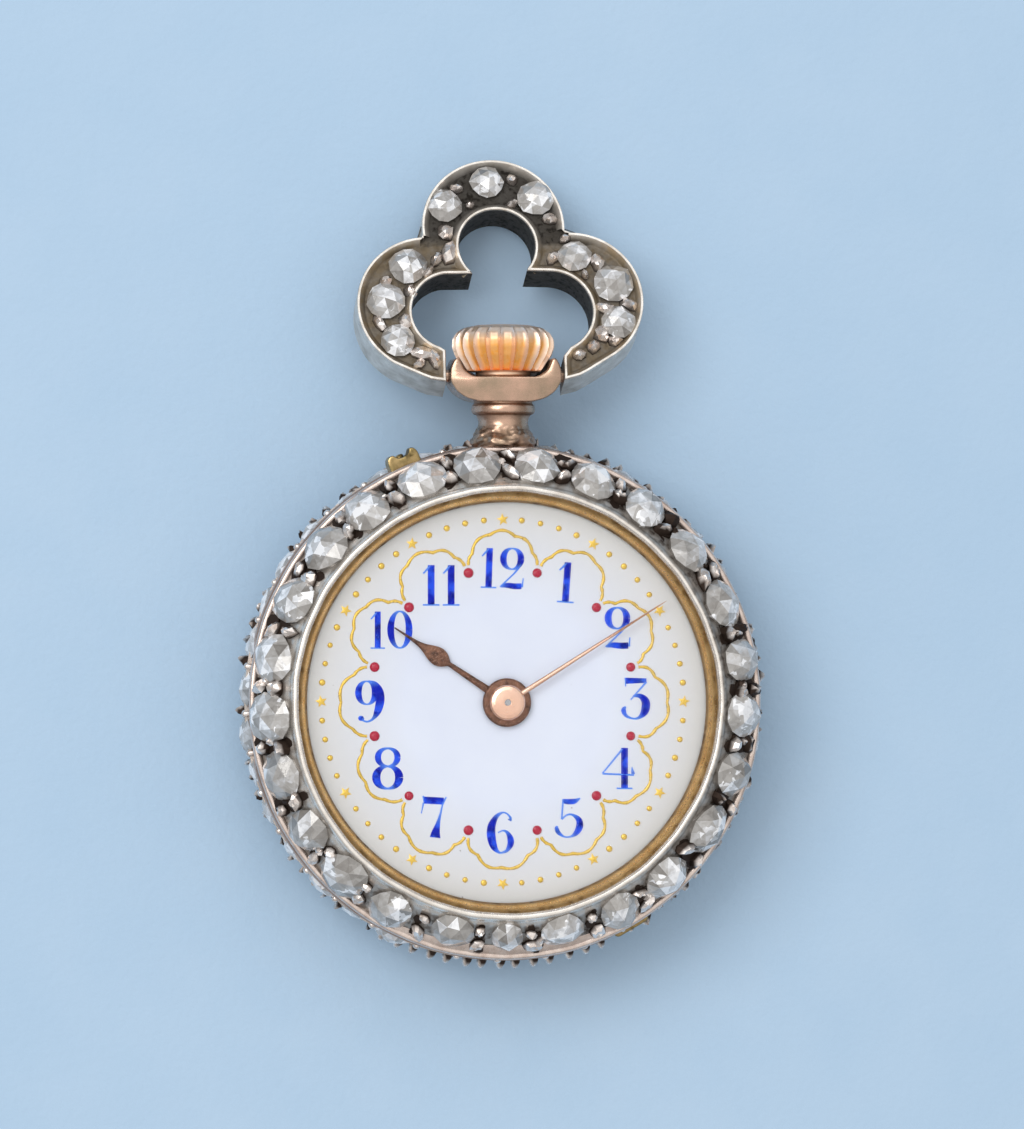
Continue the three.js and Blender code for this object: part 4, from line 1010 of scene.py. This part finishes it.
marked = bow_outline()
FRONT, FLOOR = 1.2, 0.86
points, faces, soiling = stack(
    [(x, y) for x, y, _ in marked], (0.05, -FRONT, 0.2), (0, -FRONT + 0.05, 0.15), (0, 0, 0.1),
    (0, FRONT - 0.12, 0.05), (0, FRONT - 0.05, 0), (0.035, FRONT, 0), (0.13, FRONT, 0),
    (0.16, FRONT - 0.04, 0.25), (0.28, FRONT - 0.18, 0.5), (0.36, FRONT - 0.3, 0.8), (0.42, FLOOR, 1),
    (0.44, FLOOR, 1),
)
grime_and_shade, tan = [], []
for k, ((x, y, z), g) in enumerate(zip(points, soiling)):
    level, place = divmod(k, len(marked))
    tan.append(clamp((7.2 - y) / 0.8) if level >= 7 else 0)
    if level < 4:
        g += 0.92 * marked[place][2]
    elif level >= 8 and y < 6.6:
        g *= 0.8
    grime_and_shade.append(clamp(g))
piece(
    "bow_frame", bow_place((points, faces)), "bow_group", BOW_SILVER, ["bow"], sharp=35,
    weights={"grime_and_shade": grime_and_shade, "tan": tan},
)
# Stones as (across, up, radius), then the claws between them.
BOW_STONES = [
    (-2.23, 8.75, 0.9), (-0.03, 9.9, 0.86), (2.34, 8.92, 0.95), (-4.31, 5.67, 0.98), (-5.58, 3.93, 0.98),
    (-5.16, 1.82, 0.88), (4, 5.73, 0.86), (5.78, 4.22, 1.02), (5.85, 2.15, 0.86),
]
BOW_CLAWS = [
    (-1.55, 9.65, 0.3), (-0.95, 8.75, 0.2), (1.25, 9.95, 0.26), (1.15, 8.7, 0.24), (2.95, 7.8, 0.34),
    (-2.3, 7.4, 0.42), (-2.2, 6.35, 0.44), (-2.85, 6, 0.3), (-5.5, 5, 0.26), (-4.3, 4.35, 0.3),
    (-4.7, 2.8, 0.34), (-5.95, 2.75, 0.34), (-4, 1.1, 0.42), (-3.4, 0.75, 0.36), (-4.2, 0.55, 0.3),
    (-3.35, 5.3, 0.26), (2.95, 5.75, 0.3), (5.1, 5.35, 0.34), (4.45, 4.75, 0.24), (5.25, 2.95, 0.36),
    (6.5, 3.05, 0.34), (5, 1.6, 0.42), (4.5, 0.95, 0.36), (3.75, 0.55, 0.34), (3.6, 6.7, 0.24),
    (5.6, 1.2, 0.3),
]
rng = random.Random(21)
for k, (x, y, radius) in enumerate(BOW_STONES):
    points, faces, tones = rose_cut(rng, radius * 0.98, radius * 0.95, 0.52)
    made = bow_place((placed(points, (*lean(x, y), FRONT - 0.12), LEVEL), faces))
    name, stone = f"bow_diamond_{k + 1}", f"bow_stone_{k + 1}"
    piece(name, made, "bow_group", DIAMOND, [stone], flat=True, tones=tones)
bow_set = Heap()
for x, y, size in BOW_CLAWS:
    made = nugget(size * 1.12, 0.46, foot=1.2)
    bow_set.place(made, (*lean(x, y), FRONT - 0.32), LEVEL, dark_below(made, 0.08))
piece("bow_beads", bow_place(bow_set.grimy()), "bow_group", BEAD_SILVER, sharp=24)

# ---- dial ----
TRACK_RADIUS, DOT_RADIUS = 8.97, 6.56
dial_profile = fillet([
    (0.85, 5.75), (10.3, 5.75), (10.35, 5.82), (10.35, DIAL_FACE - 0.12), (10.2, DIAL_FACE - 0.02),
    (9.6, DIAL_FACE), (0.93, DIAL_FACE), (0.85, DIAL_FACE - 0.06),
], 0.05, 2)
piece("enamel_dial", lathe(dial_profile, 160)[:2], "case", ENAMEL, ["dial"], sharp=40)

ART = (-0.18, 0.05)  # the painting sits a little off the centre of the dial
ink, gilding, red = Heap(), Heap(), Heap()


def on_dial(degrees, radius):
    """The same, for what is painted."""
    x, y, _ = ring_place(degrees, radius)
    return x + ART[0], y + ART[1]


def unit(dx, dy):
    """The direction square to a step, and the step's length."""
    length = hypot(dx, dy) or 1
    return -dy / length, dx / length, length


def ribbon(heap, path, widths, thick):
    """A low rounded stroke of paint along a path. A stroke's ink is its width against the widest."""
    section = (
        (-1, 0), (-0.6, thick * 0.8), (0, thick), (0.6, thick * 0.8), (1, 0), (0.9, -0.02), (-0.9, -0.02)
    )
    points, weight = [], []
    for i, ((x, y), width) in enumerate(zip(path, widths)):
        (ax, ay), (bx, by) = path[max(0, i - 1)], path[min(len(path) - 1, i + 1)]
        nx, ny, _ = unit(bx - ax, by - ay)
        w = width / 2
        points += [(x + nx * w * share, y + ny * w * share, DIAL_FACE + rise) for share, rise in section]
        weight += [clamp((width - 0.09) / 0.2)] * len(section)
    heap.put(points, closed_ends(len(path), len(section)), weight=weight)


def smooth_path(points, steps=6):
    """A smooth curve through points of any number of values."""
    out = []
    last = len(points) - 1
    for i in range(last):
        p0, p1, p2, p3 = points[max(0, i - 1)], points[i], points[i + 1], points[min(last, i + 2)]
        for k in range(steps):
            t = k / steps
            out.append(tuple(0.5 * (
                2 * b + (c - a) * t + (2 * a - 5 * b + 4 * c - d) * t * t + (3 * b - a - 3 * c + d) * t**3
            ) for a, b, c, d in zip(p0, p1, p2, p3)))
    out.append(tuple(points[-1]))
    return out


def loop(*values):
    """A pen's closed oval: thick at its sides and thin at top and bottom."""
    x, y, rx, ry, thick, thin = (v / 100 for v in values)
    path = []
    for k in range(41):
        a = 2 * PI * k / 40
        width = thin + (thick - thin) * abs(cos(a)) ** 1.5
        path.append((x + rx * cos(a), y + ry * sin(a), width))
    return path


def stroke(*points):
    """A curved stroke through points of (across, up, width)."""
    return smooth_path([tuple(v / 100 for v in p) for p in points])


def straight(*values):
    """A stroke from (x, y) to (x, y), then its width at the start and, if it differs, at the end."""
    x0, y0, x1, y1, w0, w1 = (v / 100 for v in (*values, values[-1])[:6])
    return [(x0 + (x1 - x0) * k / 4, y0 + (y1 - y0) * k / 4, w0 + (w1 - w0) * k / 4) for k in range(5)]


# Each figure is its width and its strokes of (across, up, width), in hundredths of its height.
FIGURES = {
    "0": (70, [loop(35, 50, 25.5, 47.5, 19, 4.5)]),
    "1": (42, [
        straight(22, 3, 22, 97, 16.5), straight(3, 77, 20, 95, 4, 6), straight(2, 2, 42, 2, 4),
    ]),
    "2": (66, [
        loop(32, 73, 22.5, 25, 17, 4), stroke((54, 62, 10), (42, 42, 5), (20, 20, 4), (4, 4, 5)),
        stroke((5, 5, 5), (20, 8.5, 13), (40, 7, 15), (58, 7.5, 15)),
        straight(60, 5, 62, 27, 5, 3),
    ]),
    "3": (72, [
        straight(12, 92.5, 62, 93, 15, 11), straight(11, 100, 12, 79, 4, 3), straight(62, 90, 24, 47, 5, 3.5),
        stroke((30, 56, 5), (47, 56, 12), (60, 42, 20), (58, 20, 19), (45, 5, 8), (30, 2, 4.5), (13, 9, 8),
               (7, 22, 12), (12, 31, 4)),
    ]),
    "4": (78, [
        straight(55, 3, 55, 99, 16.5), straight(50, 96, 2, 38, 5, 4), straight(2, 37, 78, 34, 4.5),
        stroke((76, 36, 9), (74, 45, 6), (73, 53, 2)), straight(36, 2, 74, 2, 4),
    ]),
    "5": (68, [
        stroke((16, 88, 10), (30, 87, 13), (45, 89, 12), (58, 97, 3)),
        straight(17, 92, 16, 44, 4.5),
        stroke((16, 44, 4), (28, 55, 4.5), (42, 56, 6), (57, 45, 14), (60, 30, 17), (53, 14, 13), (40, 4, 5),
               (24, 3, 4.5), (10, 12, 10), (5, 22, 10), (7, 28, 3)),
    ]),
    "6": (64, [
        stroke((54, 79, 10), (56, 86, 6), (47, 96, 4), (36, 98, 5), (22, 88, 11),
               (11, 66, 19), (10, 42, 21), (16, 18, 17), (27, 4, 7), (36, 2, 4.5)),
        stroke((34, 2, 4.5), (47, 7, 8), (56, 22, 15), (56, 36, 15), (48, 51, 8),
               (38, 55, 4), (26, 50, 3.5)),
    ]),
    "7": (60, [
        straight(5, 90, 53, 90, 17), straight(3, 100, 7, 86, 4, 5), straight(59, 100, 50, 84, 3, 7),
        straight(5, 84, 1, 58, 4.5, 2),
        stroke((51, 84, 4), (47, 60, 5), (42, 35, 11), (38, 15, 20), (37, 2, 26)),
    ]),
    "8": (70, [loop(35.5, 76.5, 23.5, 21.5, 15, 5), loop(35.5, 28.5, 27.5, 26.5, 20, 5)]),
    "9": (68, [
        loop(27, 71, 20, 27.5, 16, 3.5),
        stroke((30, 98.5, 5), (47, 93, 10), (57, 75, 19), (59, 52, 21), (53, 27, 17),
               (42, 9, 7), (28, 2, 4.5), (16, 6, 5)),
        stroke((20, 6, 6), (13, 11, 14), (11, 16, 5)),
    ]),
}
FIGURE_HEIGHT, FIGURE_RADIUS, FIGURE_GAP = 2.06, 6.58, 0.06
LEANS = {1: -4, 12: -2, 7: -3, 5: -3}
NUDGES = {
    1: (-0.15, 0.2), 2: (0, 0.35), 3: (0, 0.15), 6: (-0.12, 0.12), 7: (-0.15, 0), 10: (0.18, 0.25),
    11: (0.22, 0.05),
}
NARROW = {10: 0.87, 12: 0.94}
for hour in range(1, 13):
    digits = [(FIGURES[d][0] / 100, FIGURES[d][1]) for d in str(hour)]
    x0 = -(sum(width for width, _ in digits) + FIGURE_GAP * (len(digits) - 1)) / 2
    cx, cy = (a + b for a, b in zip(on_dial(30 * hour, FIGURE_RADIUS), NUDGES.get(hour, (0, 0))))
    wide = FIGURE_HEIGHT * NARROW.get(hour, 1)
    tall = FIGURE_HEIGHT * min(1, NARROW.get(hour, 1) + 0.05)
    turn = radians(LEANS.get(hour, 0))
    c, s = cos(turn), sin(turn)
    for width, strokes in digits:
        for line in strokes:
            local = [((x0 + x) * wide, (y - 0.5) * tall) for x, y, _ in line]
            path = [(cx + x * c - y * s, cy + x * s + y * c) for x, y in local]
            ribbon(ink, path, [max(0.055, w * wide) for _, _, w in line], 0.014)
        x0 += width + FIGURE_GAP
piece("hour_figures", ink.solid(), "case", BLUE_PAINT, weights={"ink": ink.weight}, sharp=60)

# Gold garlands: a scalloped line round each figure, from one red dot to the next.
rng = random.Random(3)
SCALLOPS = {
    5: [(-14.2, 6.93), (-11.1, 7.5), (-4.6, 8.17), (4.6, 8.17), (11.1, 7.5), (14.2, 6.93)],
    4: [(-14.2, 6.93), (-9.6, 7.72), (0, 8.16), (9.6, 7.72), (14.2, 6.93)],
}
for hour in range(1, 13):
    path, places = [], []
    for degrees, radius in SCALLOPS[4 if hour in (3, 6, 8, 9) else 5]:
        jitter = 0 if abs(degrees) > 14 else 1
        inward = 0.24 * jitter if hour in (8, 9) else 0.08 * jitter if hour in (2, 3, 4) else 0
        around = 30 * hour + degrees + jitter * rng.uniform(-0.7, 0.7)
        places.append(on_dial(around, radius - inward + jitter * rng.uniform(-0.08, 0.08)))
    for (ax, ay), (bx, by) in zip(places, places[1:]):
        nx, ny, length = unit(bx - ax, by - ay)
        bulge = length * (0.21 if length > 0.9 else 0.13)
        if nx * (ax + bx) + ny * (ay + by) < 0:
            nx, ny = -nx, -ny
        for k in range(8):
            t = k / 8
            out = 4 * t * (1 - t) * bulge
            path.append((ax + (bx - ax) * t + nx * out, ay + (by - ay) * t + ny * out))
    path.append(places[-1])
    ribbon(gilding, path, [0.155 + 0.025 * sin(1.7 * k + hour) for k in range(len(path))], 0.05)

# Minute track: a star at each hour and four dots between.
for minute in range(60):
    cx, cy = on_dial(6 * minute, TRACK_RADIUS)
    if minute % 5:
        gilding.place(ball(0.15 * rng.uniform(0.9, 1.1), 0.07, 12, 4, foot=0.2), (cx, cy, DIAL_FACE), LEVEL)
        continue
    turn = rng.uniform(0, 72)
    star = []
    for k in range(10):
        a = radians(36 * k + turn)
        r, rise = (0.135, 0.03) if k % 2 else (0.31, 0.015)
        star.append((cx + r * cos(a), cy + r * sin(a), DIAL_FACE + rise))
    points = star + [(x, y, DIAL_FACE - 0.02) for x, y, _ in star] + [(cx, cy, DIAL_FACE + 0.075)]
    ring = [(k, (k + 1) % 10) for k in range(10)]
    faces = [(k, m, 20) for k, m in ring] + [(10 + k, 10 + m, m, k) for k, m in ring] + [tuple(range(10, 20))]
    gilding.put(points, faces)
piece(
    "gold_garlands", gilding.solid(), "case", GOLD_PAINT, weights={"ink": gilding.weight},
    sharp=60,
)
for hour in range(12):
    bead = ball(0.235 * rng.uniform(0.95, 1.08), 0.14, 16, 5, foot=0.15)
    red.place(bead, (*on_dial(30 * hour + 15, DOT_RADIUS), DIAL_FACE), LEVEL)
piece("red_dots", red.solid(), "case", RED_PAINT, weights={"ink": red.weight}, sharp=60)


# ---- hands ----
def hand(name, halves, boss, z, thick, degrees, body, material, stands_for):
    """A blade with a rounded top, as (half width, distance from the centre), and its turned boss."""
    section = ((-1, 0.35), (-0.55, 0.8), (0, 1), (0.55, 0.8), (1, 0.35), (0.92, 0), (-0.92, 0))
    heap = Heap()
    blade = [(w * share, y, z + thick * rise) for w, y in halves for share, rise in section]
    heap.put(blade, closed_ends(len(halves), len(section)))
    heap.put(*lathe(boss, 72)[:2])
    piece(name, (turned(heap.points, -degrees), heap.faces), body, material, [stands_for], sharp=45)


hour_half = smooth_path([
    (0.19, 1), (0.16, 2), (0.13, 3.1), (0.12, 3.4), (0.2, 3.52), (0.34, 3.7), (0.43, 3.92),
    (0.455, 4.12), (0.4, 4.4), (0.28, 4.7), (0.17, 5), (0.11, 5.3), (0.07, 5.8), (0.035, 6.66),
], 5)
hour_boss = fillet(
    [(0.68, 6.42), (1.2, 6.42), (1.2, 6.56), (1.12, 6.65), (0.74, 6.66), (0.68, 6.62)], 0.05
)
hand(
    "hour_hand_shaped", hour_half, hour_boss, 6.42, 0.14, HOUR_ANGLE, "hour_group",
    HOUR_BROWN, "hour_hand",
)
minute_half = [
    (0.13, 0.6), (0.115, 2), (0.1, 3.5), (0.085, 5), (0.065, 6.8), (0.045, 8.4), (0.028, 9.1),
    (0.01, 9.34),
]
minute_boss = fillet([
    (0.44, 6.74), (0.875, 6.76), (0.875, 6.86), (0.8, 6.95), (0.62, 7), (0.3, 7.035), (0.15, 7.03),
    (0.15, 6.96), (0.44, 6.95),
], 0.02)
hand(
    "minute_hand_shaped", minute_half, minute_boss, 6.77, 0.1, MINUTE_ANGLE, "minute_group",
    HAND_GOLD, "minute_hand",
)

# ---- nodes kept from the CAD ----
KEPT = (
    (STEEL, "back_hinge_pin bezel_hinge_pin winding_stem clutch_wheel yoke cannon_pinion setting_wheel"),
    (STEEL, "barrel_arbor ratchet_wheel crown_wheel click escape_wheel lever"),
    (BRASS, "hour_wheel minute_wheel barrel barrel_lid third_wheel fourth_wheel balance_wheel"),
    (BLUED, "case_screw_1 case_screw_2 bridge_screw_1 bridge_screw_2 bridge_screw_3 mainspring hairspring"),
    (MOVEMENT_GILT, "main_plate barrel_bridge train_bridge balance_cock pallet_cock"),
    (ROSE_GOLD, "bow_pin_right bow_pin_left"), (GUARD_GOLD, "setting_pin"), (CAP_GOLD, "dust_cap"),
    (BRASS_ON_STEEL, "centre_wheel"),
)
for material, names in KEPT:
    for name in names.split():
        nodes[name].data.materials.clear()
        nodes[name].data.materials.append(material)
for name in ("setting_pin", "bow_pin_right", "bow_pin_left"):
    soft = nodes[name].modifiers.new("soft_edges", "BEVEL")
    soft.width, soft.segments, soft.limit_method = 0.04 * MM, 2, "ANGLE"

# ---- floor, light and camera ----
SURFACE = START_BOX[0].z - 0.02 * MM
floor_mesh = bpy.data.meshes.new("paper_floor")
corners = [(x, y, SURFACE) for x, y in ((-0.5, -0.5), (0.5, -0.5), (0.5, 0.5), (-0.5, 0.5))]
floor_mesh.from_pydata(corners, [], [(0, 1, 2, 3)])
floor_mesh.materials.append(paper())
floor = bpy.data.objects.new("paper_floor", floor_mesh)
scene.collection.objects.link(floor)

scene.view_settings.view_transform = "Standard"
world = bpy.data.worlds.new("studio")
world.use_nodes = True
scene.world = world
tree = world.node_tree
direction = node(tree, "ShaderNodeTexCoord").outputs["Generated"]
height = node(tree, "ShaderNodeSeparateXYZ", {0: direction}).outputs["Z"]
sky = graded(tree, height, [
    (0, (0.3, 0.3, 0.3)), (0.5, (0.44, 0.44, 0.44)), (0.78, (0.88, 0.87, 0.855)),
    (1, (0.98, 0.965, 0.94)),
])
settle(tree, tree.nodes["Background"], {"Color": sky, "Strength": 1.06})

MIDDLE = Vector((0.2, 6.8, 5)) * MM
SOFTBOXES = (
    ("key_softbox", (-0.27, 0.17, 0.48), 1.05, (1, 0.99, 0.97)),
    ("fill_softbox", (-0.02, 0.36, 0.46), 0.3, (0.97, 0.98, 1)),
)
for name, place, watts, tint in SOFTBOXES:
    light = bpy.data.lights.new(name, "AREA")
    light.shape, light.size, light.size_y = "RECTANGLE", 0.3, 0.3
    light.energy, light.color = watts, tint
    made = bpy.data.objects.new(name, light)
    made.location = place
    made.rotation_euler = (MIDDLE - Vector(place)).to_track_quat("-Z", "Y").to_euler()
    scene.collection.objects.link(made)

camera_data = bpy.data.cameras.new("camera")
camera = bpy.data.objects.new("camera", camera_data)
scene.collection.objects.link(camera)
camera_data.sensor_width = 36
camera_data.sensor_fit = "AUTO"
FIELD_HEIGHT = 55.6  # mm seen across the picture's long side, at the dial
DISTANCE = 500
camera_data.lens = 36 * DISTANCE / FIELD_HEIGHT
camera_data.clip_start, camera_data.clip_end = 0.01, 10
aim = Vector((0.25, 6.8, 6.5)) * MM
# The watch lies on its domed back, turned a little away from the camera on its right.
toward = Vector((-sin(radians(5.5)), -sin(radians(0.8)), 1)).normalized()
camera.location = aim + toward * DISTANCE * MM
right = Vector((0, 1, 0)).cross(toward).normalized()
camera.rotation_euler = Matrix((right, toward.cross(right), toward)).transposed().to_euler()
scene.camera = camera
